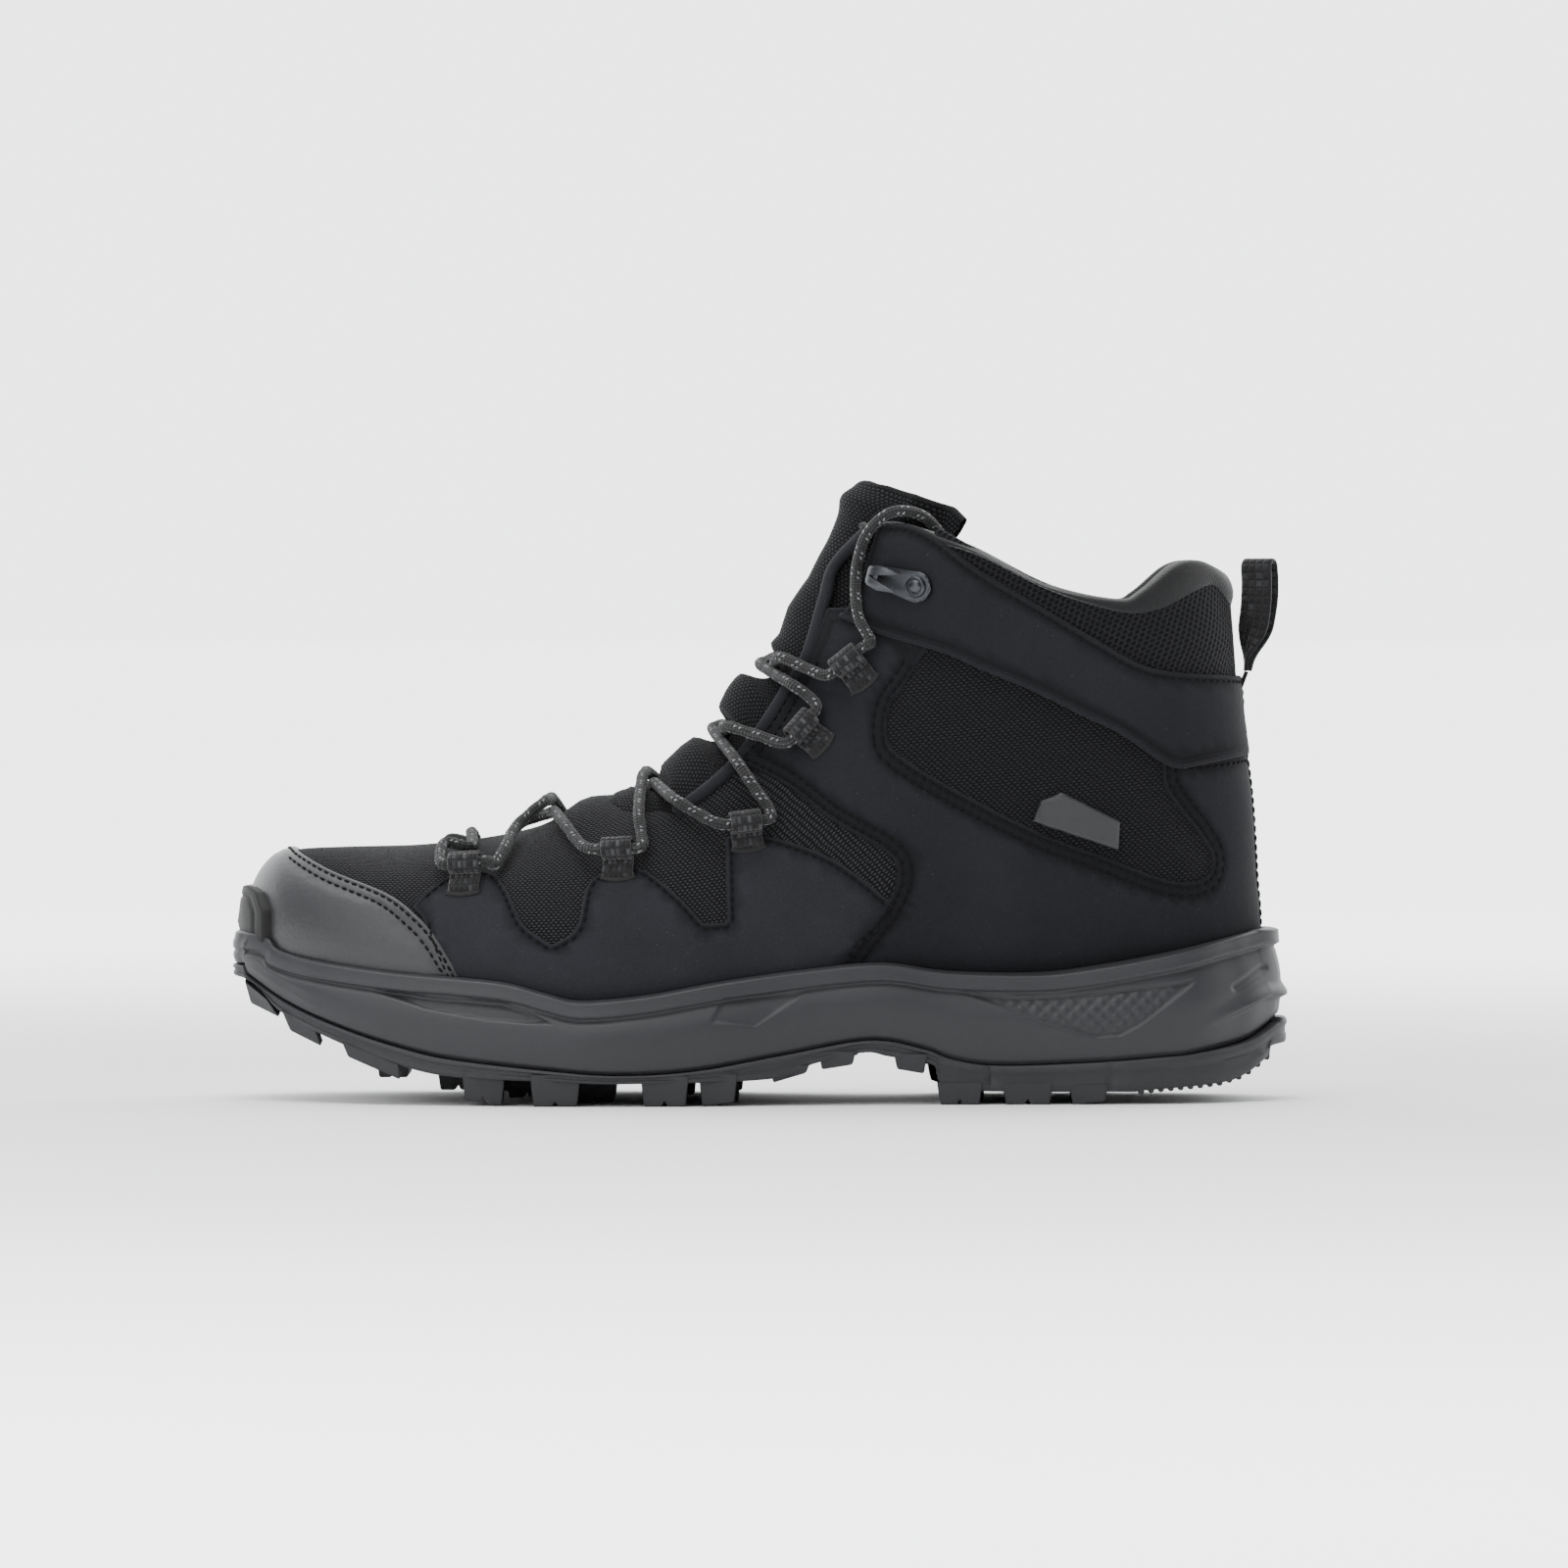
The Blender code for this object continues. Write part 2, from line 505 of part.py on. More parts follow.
def make_tongue():
    columns = [-1.5 + 3.0 * k / 12 for k in range(13)]
    under = shifted(THROAT, 6.0, -3.5)
    hx, hz = TONGUE_HINGE
    lower = [(-51, 120)] + shifted(TONGUE_BASE, -5, -5) + [p for p in under if p[1] < hz - 8]
    lower += [(hx + 16, hz - 10.2), (hx, hz - GAP), (hx - 14, hz + 6)]
    rows = [6.75 + 0.75 * k for k in range(14)]
    panel("tongue_lower", (tongue_inner, tongue_outer), lower, "mesh",
          rows=rows, columns=columns, ring=False)
    clear = shifted([p for p in THROAT if p[1] > hz - 6][:-1], -2.2, 0.8)
    upper = [(hx - 14, hz + 6.4), (hx, hz), (hx + 10.5, hz - 6.3)] + clear[1:]
    upper += [(27.0, 165.5), (31.0, 170.4), (38.0, 171.6), (50.5, 167.6), (60.5, 163.0)]
    upper += [(62.0, 163.5), (52.0, 169.8), (43.0, 175.2), (34.0, 179.3), (24.0, 181.0)]
    rows = [13.0 + 0.7 * k for k in range(12)]
    panel("tongue_upper", (tongue_inner, tongue_outer), upper, "mesh",
          rows=rows, columns=columns, ring=False)


# ---------------------------------------------------------------------------------- sole
def plan_half_widths(x):
    xs = [p[0] for p in PLAN]
    return (float(np.interp(x, xs, [p[1] for p in PLAN])) - CENTRE_LINE,
            float(np.interp(x, xs, [p[2] for p in PLAN])) + CENTRE_LINE)


def loft(sections):
    """Closed solid through a row of equal-count sections."""
    bm = bmesh.new()
    rings = [[bm.verts.new(p) for p in section] for section in sections]
    count = len(rings[0])
    for low, high in zip(rings, rings[1:]):
        for k in range(count):
            n = (k + 1) % count
            bm.faces.new((low[k], low[n], high[n], high[k]))
    bm.faces.new(rings[0])
    bm.faces.new(list(reversed(rings[-1])))
    bmesh.ops.triangulate(bm, faces=bm.faces)
    return bm


def sole_stations():
    xs = [p[0] for p in PLAN]
    extra = [-107.5, -77.5, -27, 2, 32, 51, 54, 62, 92, 118]
    return sorted(xs + extra)


def midsole_section(x):
    lateral, medial = plan_half_widths(x)
    low, top = read_line(SOLE_LINE, x), read_line(FEATHER, x)
    middle = low + 0.55 * (top - low)
    inset = 0.05 * (lateral + medial)
    top_lateral, top_medial = lateral - min(3.6, inset), medial - min(3.6, inset)
    return [(x, -lateral, low), (x, -lateral, middle), (x, -top_lateral, top),
            (x, top_medial, top), (x, medial, middle), (x, medial, low)]


def outsole_section(x):
    lateral, medial = plan_half_widths(x)
    top, low = read_line(SOLE_LINE, x) - GAP, read_line(TREAD_BASE, x)
    lateral, medial = lateral + 0.2, medial + 0.2
    inset = TREAD_CHAMFER
    return [(x, -lateral + inset, low), (x, -lateral, low + inset), (x, -lateral, top),
            (x, medial, top), (x, medial, low + inset), (x, medial - inset, low)]


# Tread lugs: front x, back x, bottom z at the front and at the back.
EDGE_LUGS = [(-148.3, -138.0, 28.3, 24.6), (-137.5, -126.0, 20.8, 16.6),
             (-119.3, -102.3, 13.7, 7.4), (-85.1, -72.8, 2.0, 0.0), (-65.4, -51.1, 0.0, 0.0),
             (-33.7, -20.0, 0.0, 0.0), (-17.0, -6.0, 0.0, 1.2), (3.4, 14.6, 6.6, 9.4),
             (17.4, 28.0, 10.3, 11.7), (39.1, 48.6, 10.3, 9.0), (51.6, 64.5, 0.0, 0.0),
             (70.5, 84.8, 0.0, 0.0), (89.7, 100.8, 0.0, 0.9)]
LUG_ROOT = 1.3                 # how far a lug reaches up into the tread plate
LUG_COVER = 0.4                # rubber left above a lug's root
HEEL_TEETH = 8
HEEL_TEETH_SPAN = (109.4, 149.0)
HEEL_TEETH_BASE = [(109.4, 2.6), (111.7, 3.1), (133.1, 4.9), (140.5, 6.9), (147.4, 11.7),
                   (150.0, 13.4)]
CENTRE_LUGS = [(-112.0, -100.0), (-94.0, -80.0), (-74.0, -60.0), (-54.0, -40.0), (-34.0, -20.0),
               (-14.0, -4.0), (56.0, 67.0), (74.0, 85.0), (91.0, 101.0)]


def lug(bm, x0, x1, y0, y1, z0, z1):
    """One tapered lug, from the floor up into the tread base, its roof as steep as the base."""
    draft = 0.8
    front, back = lug_roof(x0), lug_roof(x1)
    corners = [(x0 + draft, y0 + draft, z0), (x1 - draft, y0 + draft, z1),
               (x1 - draft, y1 - draft, z1), (x0 + draft, y1 - draft, z0),
               (x0, y0, front), (x1, y0, back), (x1, y1, back), (x0, y1, front)]
    v = [bm.verts.new(c) for c in corners]
    for quad in ((0, 3, 2, 1), (4, 5, 6, 7), (0, 1, 5, 4), (1, 2, 6, 5), (2, 3, 7, 6), (3, 0, 4, 7)):
        bm.faces.new([v[k] for k in quad])


def lug_roof(x):
    """Height inside the tread plate, which is straight between its stations."""
    stations = sole_stations()
    low = np.interp(x, stations, [read_line(TREAD_BASE, s) for s in stations])
    high = np.interp(x, stations, [read_line(SOLE_LINE, s) - GAP for s in stations])
    return min(low + LUG_ROOT, high - LUG_COVER)


def make_sole():
    sections = [outsole_section(x) for x in sole_stations()]
    outsole = to_object(loft(sections), "outsole", materials["rubber"], parts)
    bm = bmesh.new()
    for x0, x1, z0, z1 in EDGE_LUGS:
        lateral, medial = (min(pair) for pair in zip(plan_half_widths(x0), plan_half_widths(x1)))
        reach = min(16.0, 0.5 * (lateral + medial) - 9.0)
        lug(bm, x0, x1, -lateral + 0.6, -lateral + 0.6 + reach, z0, z1)
        lug(bm, x0 + 2, x1 + 2, medial - 1.6 - reach, medial - 1.6, z0, z1)
    pitch = (HEEL_TEETH_SPAN[1] - HEEL_TEETH_SPAN[0]) / HEEL_TEETH
    for k in range(HEEL_TEETH):
        x0 = HEEL_TEETH_SPAN[0] + k * pitch
        x1 = x0 + pitch * 0.66
        lateral, medial = (min(pair) for pair in zip(plan_half_widths(x0), plan_half_widths(x1)))
        z = read_line(HEEL_TEETH_BASE, (x0 + x1) / 2)
        lug(bm, x0, x1, 0.8 - lateral, medial - 0.8, z, z)
    for x0, x1 in CENTRE_LUGS:
        lateral, medial = plan_half_widths((x0 + x1) / 2)
        half = max(7.0, 0.5 * (lateral + medial) - 26.0)
        middle = 0.5 * (medial - lateral)
        z = 0.0 if -60 < x0 else 0.10 * (-60 - x0)
        z = max(z, read_line(TREAD_BASE, x0) - 7.5)
        lug(bm, x0 + 1, x1 - 1, middle - half, middle + half, z, z)
    lugs = to_object(bm, "outsole_lugs", None, cutters)
    lugs.hide_render = True
    lugs.display_type = "WIRE"
    boolean(outsole, lugs, "UNION")
    smooth_shading(outsole, 30)

    midsole = to_object(loft([midsole_section(x) for x in sole_stations()]), "midsole",
                        materials["eva"], parts)
    foot = to_object(last_solid(MIDSOLE_CUP), "midsole_foot_space", None, cutters)
    foot.hide_render = True
    foot.display_type = "WIRE"
    boolean(midsole, foot, "DIFFERENCE")
    smooth_shading(midsole)

    bumper = [(-170, 49.5), (-170, 61.5), (-143.5, 61.5), (-141.5, 55), (-141.5, 47.2), (-152, 49.2)]
    panel("toe_bumper", BUMPER_LAYER, bumper, "rubber", rows=[0.0, 1.0, 2.0, 3.0, 4.0, 5.0])


# ------------------------------------------------------------------- loops, hooks, label
def skin_frame(x, z, side, lean):
    """Origin on the skin, tape direction and outward normal, and the lace's direction."""
    u, angle = place_on_last(x, z)
    normal = skin_normal(u, side * angle)
    down = Vector((lean[0], 0.0, lean[1]))
    down -= normal * down.dot(normal)
    down.normalize()
    return skin(u, side * angle), down, normal, down.cross(normal)


def ribbon(bm, path, width_axis, width, thickness):
    """Flat tape of a width that follows a flat path of points, closed at both ends."""
    rings = []
    for i, point in enumerate(path):
        before, after = path[max(i - 1, 0)], path[min(i + 1, len(path) - 1)]
        out = (after - before).normalized().cross(width_axis).normalized()
        a, b = width_axis * (width / 2), out * (thickness / 2)
        rings.append([bm.verts.new(point + s * a + t * b)
                      for s, t in ((-1, -1), (1, -1), (1, 1), (-1, 1))])
    for low, high in zip(rings, rings[1:]):
        for k in range(4):
            n = (k + 1) % 4
            bm.faces.new((low[k], low[n], high[n], high[k]))
    bm.faces.new(rings[0])
    bm.faces.new(list(reversed(rings[-1])))


LACE_LIFT = 0.3 + GAP + LACE_DIAMETER / 2          # centre of a lace that lies on the overlays
LOOP_RADIUS = LACE_DIAMETER / 2 + 0.55 + WEB_THICKNESS / 2
LOOP_END = 262                                     # degrees; the tape's free end lies under the lace
LOOP_LEAVES = 12                                   # degrees; where it leaves the lace for its tail
LOOP_STEPS = 12
LOOP_LIFT = LOOP_RADIUS + WEB_THICKNESS / 2 + 0.7  # centre of a lace inside a loop


def make_loop(name, place, lean, tail, side):
    """Tape folded round the lace, its tail sewn flat to the overlay."""
    origin, down, normal, axis = skin_frame(*place, side, lean)
    centre = origin + normal * LOOP_LIFT
    path = []
    for k in range(LOOP_STEPS + 1):
        turn = math.radians(LOOP_END + (LOOP_LEAVES - LOOP_END) * k / LOOP_STEPS)
        path.append(centre + down * (LOOP_RADIUS * math.cos(turn))
                    + normal * (LOOP_RADIUS * math.sin(turn)))
    start = path[-1]
    for k in (1, 2):
        reach = tail * k / 2
        along = origin + down * (LOOP_RADIUS + reach)
        u, angle = place_on_last(along.x, along.z)
        lift = 0.3 + WEB_THICKNESS / 2 + 0.45
        path.append(skin(u, side * angle) + skin_normal(u, side * angle) * lift)
    flat = [p - axis * (p - start).dot(axis) for p in path]
    bm = bmesh.new()
    ribbon(bm, flat, axis, LOOP_WIDTH, WEB_THICKNESS)
    loop = to_object(bm, name, materials["tape"], parts)
    smooth_shading(loop)


def make_hook(name, side):
    """Riveted plate with a speed hook at its front end, and the rivet."""
    x, z = HOOK_PLACE
    u, angle = place_on_last(x, z)
    normal = skin_normal(u, side * angle)
    forward = Vector((-math.cos(HOOK_LEAN), 0.0, -math.sin(HOOK_LEAN)))
    forward -= normal * forward.dot(normal)
    forward.normalize()
    up = normal.cross(forward)
    base = skin(u, side * angle) + normal * 1.7
    frame = Matrix((forward, up, normal)).transposed().to_4x4()
    frame.translation = base

    def extruded(outline, low, high):
        bm = bmesh.new()
        bottom = [bm.verts.new((a, b, low)) for a, b in outline]
        top = [bm.verts.new((a, b, high)) for a, b in outline]
        bm.faces.new(bottom)
        bm.faces.new(list(reversed(top)))
        for k in range(len(outline)):
            n = (k + 1) % len(outline)
            bm.faces.new((bottom[k], bottom[n], top[n], top[k]))
        bmesh.ops.transform(bm, matrix=frame, verts=bm.verts)
        return bm

    back = [(-5.0 + 4.2 * math.cos(math.radians(a)), 4.2 * math.sin(math.radians(a)))
            for a in range(90, 271, 30)]
    nose = [(5.5 + 3.6 * math.cos(math.radians(a)), 3.6 * math.sin(math.radians(a)))
            for a in range(-90, 91, 30)]
    plate = to_object(extruded(back + nose, 0.0, 1.1), name, materials["gunmetal"], parts)
    bm = bmesh.new()
    path = [Vector((4.8, 0, 0.7)), Vector((7.4, 0, 1.2)), Vector((8.9, 0, 3.0)),
            Vector((8.6, 0, 5.2)), Vector((6.6, 0, 6.6)), Vector((3.0, 0, 6.8)), Vector((0.2, 0, 6.2))]
    ribbon(bm, path, Vector((0, 1, 0)), 5.2, 1.3)
    bmesh.ops.transform(bm, matrix=frame, verts=bm.verts)
    horn = to_object(bm, name + "_horn", None, cutters)
    horn.hide_render = True
    horn.display_type = "WIRE"
    boolean(plate, horn, "UNION")
    smooth_shading(plate)

    bm = bmesh.new()
    bmesh.ops.create_cone(bm, cap_ends=True, segments=16, radius1=2.6, radius2=1.5, depth=1.2,
                          matrix=frame @ Matrix.Translation((-4.6, 0, 1.1 + GAP + 0.6)))
    rivet = to_object(bm, name.replace("lace_hook", "hook_rivet"), materials["gunmetal"], parts)
    smooth_shading(rivet)


def make_pull_loop():
    """Tape loop sewn at its foot to the back of the collar, swinging about that seam."""
    hx, hz = PULL_HINGE
    profile = [(0.0, 1.0), (2.2, 6.0), (5.0, 12.5), (6.9, 20.0), (7.3, 27.0), (6.2, 31.0),
               (3.2, 32.4), (0.5, 31.0), (-0.4, 27.0), (-0.6, 20.0), (-0.4, 12.0), (-0.5, 6.5),
               (-0.55, 3.5)]
    bm = bmesh.new()
    ribbon(bm, [Vector((x, 0, z)) for x, z in profile], Vector((0, 1, 0)), PULL_LOOP_WIDTH,
           WEB_THICKNESS)
    loop = to_object(bm, "pull_loop", materials["tape"], parts)
    loop.location = (hx * MM, CENTRE_LINE * MM, hz * MM)
    foot = bmesh.new()
    bmesh.ops.create_cone(foot, cap_ends=True, segments=12, radius1=1.5, radius2=1.5,
                          depth=PULL_LOOP_WIDTH - 0.4,
                          matrix=Matrix.Translation((0, 0, 1.6)) @ Matrix.Rotation(math.pi / 2, 4, "X"))
    seam = to_object(foot, "pull_loop_foot", None, cutters)
    seam.location = loop.location
    seam.hide_render = True
    seam.display_type = "WIRE"
    boolean(loop, seam, "UNION")
    smooth_shading(loop)


def make_label():
    panel("side_label", (0.3, 0.8), LABEL, "label", "lateral",
          rows=[float(i) for i in range(9, 20)])


# ---------------------------------------------------------------------------------- lace
def over_tongue(u, lift, sideways=0.0):
    """A point above the ridge of the last, at station u."""
    angle = sideways
    return skin(u, angle) + skin_normal(u, angle) * lift


def through_loop(index, side):
    """Three points straight through a lace loop, from its front or lower end."""
    place, lean = LOOPS[index]
    origin, _, normal, axis = skin_frame(*place, side, lean)
    centre = origin + normal * LOOP_LIFT
    if axis.x < 0:
        axis = -axis
    return [centre - axis * LOOP_STRAIGHT, centre, centre + axis * LOOP_STRAIGHT]


def crossing(index, own, upper):
    """A strand over the tongue: station step, angle and height, from its own side across."""
    lower_lift = CROSSING_LIFTS[index]
    stack = LACE_DIAMETER + GAP
    middle = lower_lift + (stack if upper else 0.0)
    beside = middle + CROSSING_SAG
    u = CROSSINGS[index]
    steps = [(-CROSSING_STEP, CROSSING_SPREAD, beside), (0.0, 0.0, middle),
             (CROSSING_STEP, -CROSSING_SPREAD, beside)]
    return [over_tongue(u + step, lift, own * angle) for step, angle, lift in steps]


def lace_side(side, first_over):
    """Route of one strand, from the front bar up through its loops to the top loop."""
    points = []
    for index in range(5):
        own = side if index % 2 == 0 else -side
        points += [on_skin(x, z, own, LACE_LIFT + 0.4) for x, z in LACE_VIA[f"before_{index + 1}"]]
        points += through_loop(index, own)
        if index == 4:
            break
        points += [on_skin(x, z, own, LACE_LIFT + 0.6) for x, z in LACE_VIA[f"after_{index + 1}"]]
        points += crossing(index + 1, own, (index % 2 == 0) == first_over)
    return points


def threaded_route(points):
    """The route's own points, with one more read from the smooth curve on each long span."""
    route = [points[0]]
    for i in range(len(points) - 1):
        p1, p2 = points[i], points[i + 1]
        if (p2 - p1).length > 8.0:
            p0 = points[i - 1] if i > 0 else p1
            p3 = points[i + 2] if i + 2 < len(points) else p2
            route.append((9 * (p1 + p2) - p0 - p3) / 16)
        route.append(p2)
    return route


def smooth_route(points, spacing):
    """Points at an even spacing on a Catmull-Rom curve through the route's own points."""
    fine = []
    for i in range(len(points) - 1):
        p1, p2 = points[i], points[i + 1]
        p0 = points[i - 1] if i > 0 else 2 * p1 - p2
        p3 = points[i + 2] if i + 2 < len(points) else 2 * p2 - p1
        for k in range(16):
            f = k / 16
            fine.append(0.5 * (2 * p1 + (p2 - p0) * f + (2 * p0 - 5 * p1 + 4 * p2 - p3) * f * f
                               + (3 * p1 - p0 - 3 * p2 + p3) * f ** 3))
    fine.append(points[-1])
    lengths = [0.0]
    for a, b in zip(fine, fine[1:]):
        lengths.append(lengths[-1] + (b - a).length)
    count = max(2, round(lengths[-1] / spacing) + 1)
    wanted = np.linspace(0.0, lengths[-1], count)
    coordinates = [np.interp(wanted, lengths, [p[axis] for p in fine]) for axis in range(3)]
    return [Vector(c) for c in zip(*coordinates)]


def tube(name, points, diameter, material):
    """Round cord: a curve with a round bevel and filled ends, made a mesh."""
    curve = bpy.data.curves.new(name + "_curve", "CURVE")
    curve.dimensions = "3D"
    curve.bevel_depth = diameter / 2 * MM
    curve.bevel_resolution = 2
    curve.use_fill_caps = True
    curve.resolution_u = 1
    spline = curve.splines.new("POLY")
    spline.points.add(len(points) - 1)
    for point, target in zip(spline.points, points):
        point.co = (*(target * MM), 1.0)
    source = bpy.data.objects.new(name + "_curve", curve)
    cutters.objects.link(source)
    bpy.context.view_layer.update()
    evaluated = source.evaluated_get(bpy.context.evaluated_depsgraph_get())
    mesh = bpy.data.meshes.new_from_object(evaluated)
    mesh.name = name
    matrix = source.matrix_world.copy()
    bpy.data.objects.remove(source, do_unlink=True)
    bm = bmesh.new()
    bm.from_mesh(mesh)
    bmesh.ops.remove_doubles(bm, verts=bm.verts, dist=0.00001)
    bm.to_mesh(mesh)
    bm.free()
    mesh.materials.clear()
    mesh.materials.append(materials[material])
    obj = bpy.data.objects.new(name, mesh)
    obj.matrix_world = matrix
    parts.objects.link(obj)
    smooth_shading(obj)
    return obj


def make_lace():
    """The threaded lace, held all the way: front bar, four crossings, five loops a side."""
    left = lace_side(-1, True)
    right = lace_side(1, False)
    bar = CROSSINGS[0]
    front = [over_tongue(bar, LACE_LIFT - 1.4, 0.45), over_tongue(bar, LACE_LIFT - 1.4, 0.0),
             over_tongue(bar, LACE_LIFT - 1.4, -0.45)]
    points = list(reversed(right)) + front + left
    tube("lace", threaded_route(points), LACE_DIAMETER, "lace")


# The tucked end of the lace: x, z and height above the skin, from the top loop over the
# collar and down the inside wall to the heel of the footbed.
END_ROUTE = [(30.9, 134.5, 3.4), (30.2, 141.6, 3.2), (29.7, 148.8, 3.2), (31.7, 160.2, 3.4),
             (34.0, 164.5, 3.5), (37.5, 169.6, 2.0), (41.5, 171.3, -2.6), (45.0, 169.2, -8.6),
             (48.5, 162.2, -12.3), (53.0, 152.0, -11.6), (59.5, 140.0, -10.9), (63.0, 127.0, -10.9),
             (66.5, 114.0, -10.9), (70.5, 101.0, -10.9), (75.0, 88.0, -10.9), (80.5, 76.0, -11.2),
             (87.0, 65.0, -11.8), (95.0, 56.5, -12.6)]


def end_points(side):
    """The free end starts one gap after the threaded lace, above the top loop."""
    through = through_loop(4, side)
    direction = (through[-1] - through[0]).normalized()
    first = through[-1] + direction * GAP
    second = first + direction * 2.0
    route = [on_skin(x, z, side, lift) for x, z, lift in END_ROUTE]
    return [first] + smooth_route([second] + route, 9.0)


def make_lace_ends():
    for name, side in (("lateral", -1), ("medial", 1)):
        cord = end_points(side)
        tube("lace_end_" + name, cord, LACE_DIAMETER, "lace")
        heading = (cord[-1] - cord[-2]).normalized()
        tip = [cord[-1] + heading * GAP, cord[-1] + heading * (GAP + AGLET_LENGTH)]
        tube("aglet_" + name, tip, AGLET_DIAMETER, "plastic")


clear_scene()
parts = new_collection("hiking_boot")
cutters = new_collection("cutters")
materials = make_materials()
make_upper()
make_inner_layers()
make_tongue()
make_sole()
for loop_side, loop_name in ((-1, "lateral"), (1, "medial")):
    for number, ((spot, hang), tail_length) in enumerate(zip(LOOPS, LOOP_TAIL), start=1):
        make_loop(f"lace_loop_{loop_name}_{number}", spot, hang, tail_length, loop_side)
    make_hook("lace_hook_" + loop_name, loop_side)
make_pull_loop()
make_label()
make_lace()
make_lace_ends()
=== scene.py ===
"""Looks of the hiking boot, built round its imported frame.

Lengths are millimetres until a mesh is made; meshes and the frame are metres.  The upper is
drawn on the same shoe-last surface as the CAD model, at a finer grain.
"""

import math

import bmesh
import bpy
import numpy as np
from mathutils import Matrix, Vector
from mathutils.geometry import delaunay_2d_cdt
from mathutils.kdtree import KDTree


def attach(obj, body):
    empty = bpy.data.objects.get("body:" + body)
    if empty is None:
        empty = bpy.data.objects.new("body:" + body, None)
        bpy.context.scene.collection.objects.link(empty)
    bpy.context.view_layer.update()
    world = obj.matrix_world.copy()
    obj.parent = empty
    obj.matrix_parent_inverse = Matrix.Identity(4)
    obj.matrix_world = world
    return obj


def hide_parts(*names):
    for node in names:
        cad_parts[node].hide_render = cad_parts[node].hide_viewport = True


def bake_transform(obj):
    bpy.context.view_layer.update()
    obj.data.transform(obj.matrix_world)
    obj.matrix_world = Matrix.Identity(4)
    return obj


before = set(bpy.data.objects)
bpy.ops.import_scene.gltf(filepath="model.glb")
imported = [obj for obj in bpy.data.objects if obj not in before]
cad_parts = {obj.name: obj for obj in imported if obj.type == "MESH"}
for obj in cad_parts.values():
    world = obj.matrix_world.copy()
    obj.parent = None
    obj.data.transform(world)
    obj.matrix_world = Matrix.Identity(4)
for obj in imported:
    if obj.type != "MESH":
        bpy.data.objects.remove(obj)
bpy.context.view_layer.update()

MM = 0.001
LACE_DIAMETER = 3.4
BRAID_PITCH = 0.95                 # from strand to strand in the lace
EDGE_STEP = 0.9                    # between the points of a panel's cut edge
FURROW_DEPTH, FURROW_WIDTH = 0.4, 0.85      # pressed in along each row of stitches
PAINTED_EDGE_SHADE, SEAM_REACH = 0.8, 0.8  # painted shade along a cut edge: how dark, and how far in
CENTRE_LINE = 3.0
BOOT, FLAP, PULL = "boot", "tongue_flap", "pull_tab"
SIDES = (("lateral", -1), ("medial", 1))

# ------------------------------------------------------------------------------- the last
# front/top x, z; back/bottom x, z; half width; sideways shift; widest place; two roundnesses
STATIONS = np.array([
    (-149.5, 51.5, -149.5, 51.5, 0.0, 6.0, 0.50, 2.0, 2.0),
    (-147.5, 62.5, -146.0, 39.0, 13.0, 6.0, 0.55, 2.0, 2.1),
    (-142.5, 70.0, -140.5, 33.5, 21.5, 5.3, 0.58, 2.1, 2.3),
    (-135.5, 73.5, -132.5, 29.5, 28.0, 4.2, 0.60, 2.1, 2.5),
    (-121.0, 74.5, -118.0, 25.0, 35.5, 2.5, 0.62, 2.1, 2.6),
    (-101.0, 75.0, -98.0, 21.0, 42.0, 1.0, 0.62, 2.1, 2.6),
    (-78.0, 77.5, -75.5, 17.5, 46.5, -0.8, 0.64, 2.1, 2.6),
    (-58.5, 82.0, -52.5, 16.5, 48.3, -2.5, 0.66, 2.1, 2.6),
    (-38.5, 89.5, -27.0, 17.5, 46.7, -4.2, 0.67, 2.1, 2.6),
    (-24.0, 100.0, 1.5, 20.5, 42.0, -5.0, 0.68, 2.1, 2.6),
    (-14.0, 109.5, 30.5, 24.5, 37.4, -4.0, 0.66, 2.1, 2.6),
    (-8.5, 119.5, 59.0, 26.0, 35.4, -3.0, 0.62, 2.1, 2.6),
    (-2.5, 126.0, 87.5, 25.0, 34.8, -1.8, 0.60, 2.1, 2.6),
    (3.0, 133.0, 116.0, 25.0, 35.3, -0.9, 0.58, 2.1, 2.5),
    (7.5, 141.0, 137.5, 29.5, 35.4, -0.4, 0.56, 2.1, 2.4),
    (11.5, 148.0, 146.0, 46.0, 35.0, -0.2, 0.54, 2.1, 2.3),
    (16.0, 155.0, 145.5, 66.0, 35.0, 0.0, 0.52, 2.1, 2.2),
    (20.5, 162.0, 144.0, 89.0, 35.6, 0.0, 0.50, 2.1, 2.2),
    (24.0, 169.0, 141.0, 111.5, 37.0, 0.0, 0.50, 2.1, 2.2),
    (27.0, 174.5, 139.5, 131.5, 38.2, 0.0, 0.50, 2.1, 2.2),
    (30.5, 180.0, 137.5, 157.5, 39.0, 0.0, 0.50, 2.1, 2.2),
    (33.0, 187.0, 136.5, 168.0, 39.0, 0.0, 0.50, 2.1, 2.2),
])
LAST_ROW = len(STATIONS) - 1
FEATHER = [(-150.5, 48), (-141, 43), (-129.5, 40), (-107, 37), (-87, 35.5), (-72.5, 34), (-61, 31),
           (-51, 29), (-32.5, 30.5), (-9.5, 34.5), (13, 37.5), (36, 39.5), (56, 37), (81.5, 36.5),
           (99, 38.5), (121.5, 42.5), (146, 48), (153, 49)]


def read_line(line, x):
    xs, zs = zip(*line)
    return np.interp(x, xs, zs)


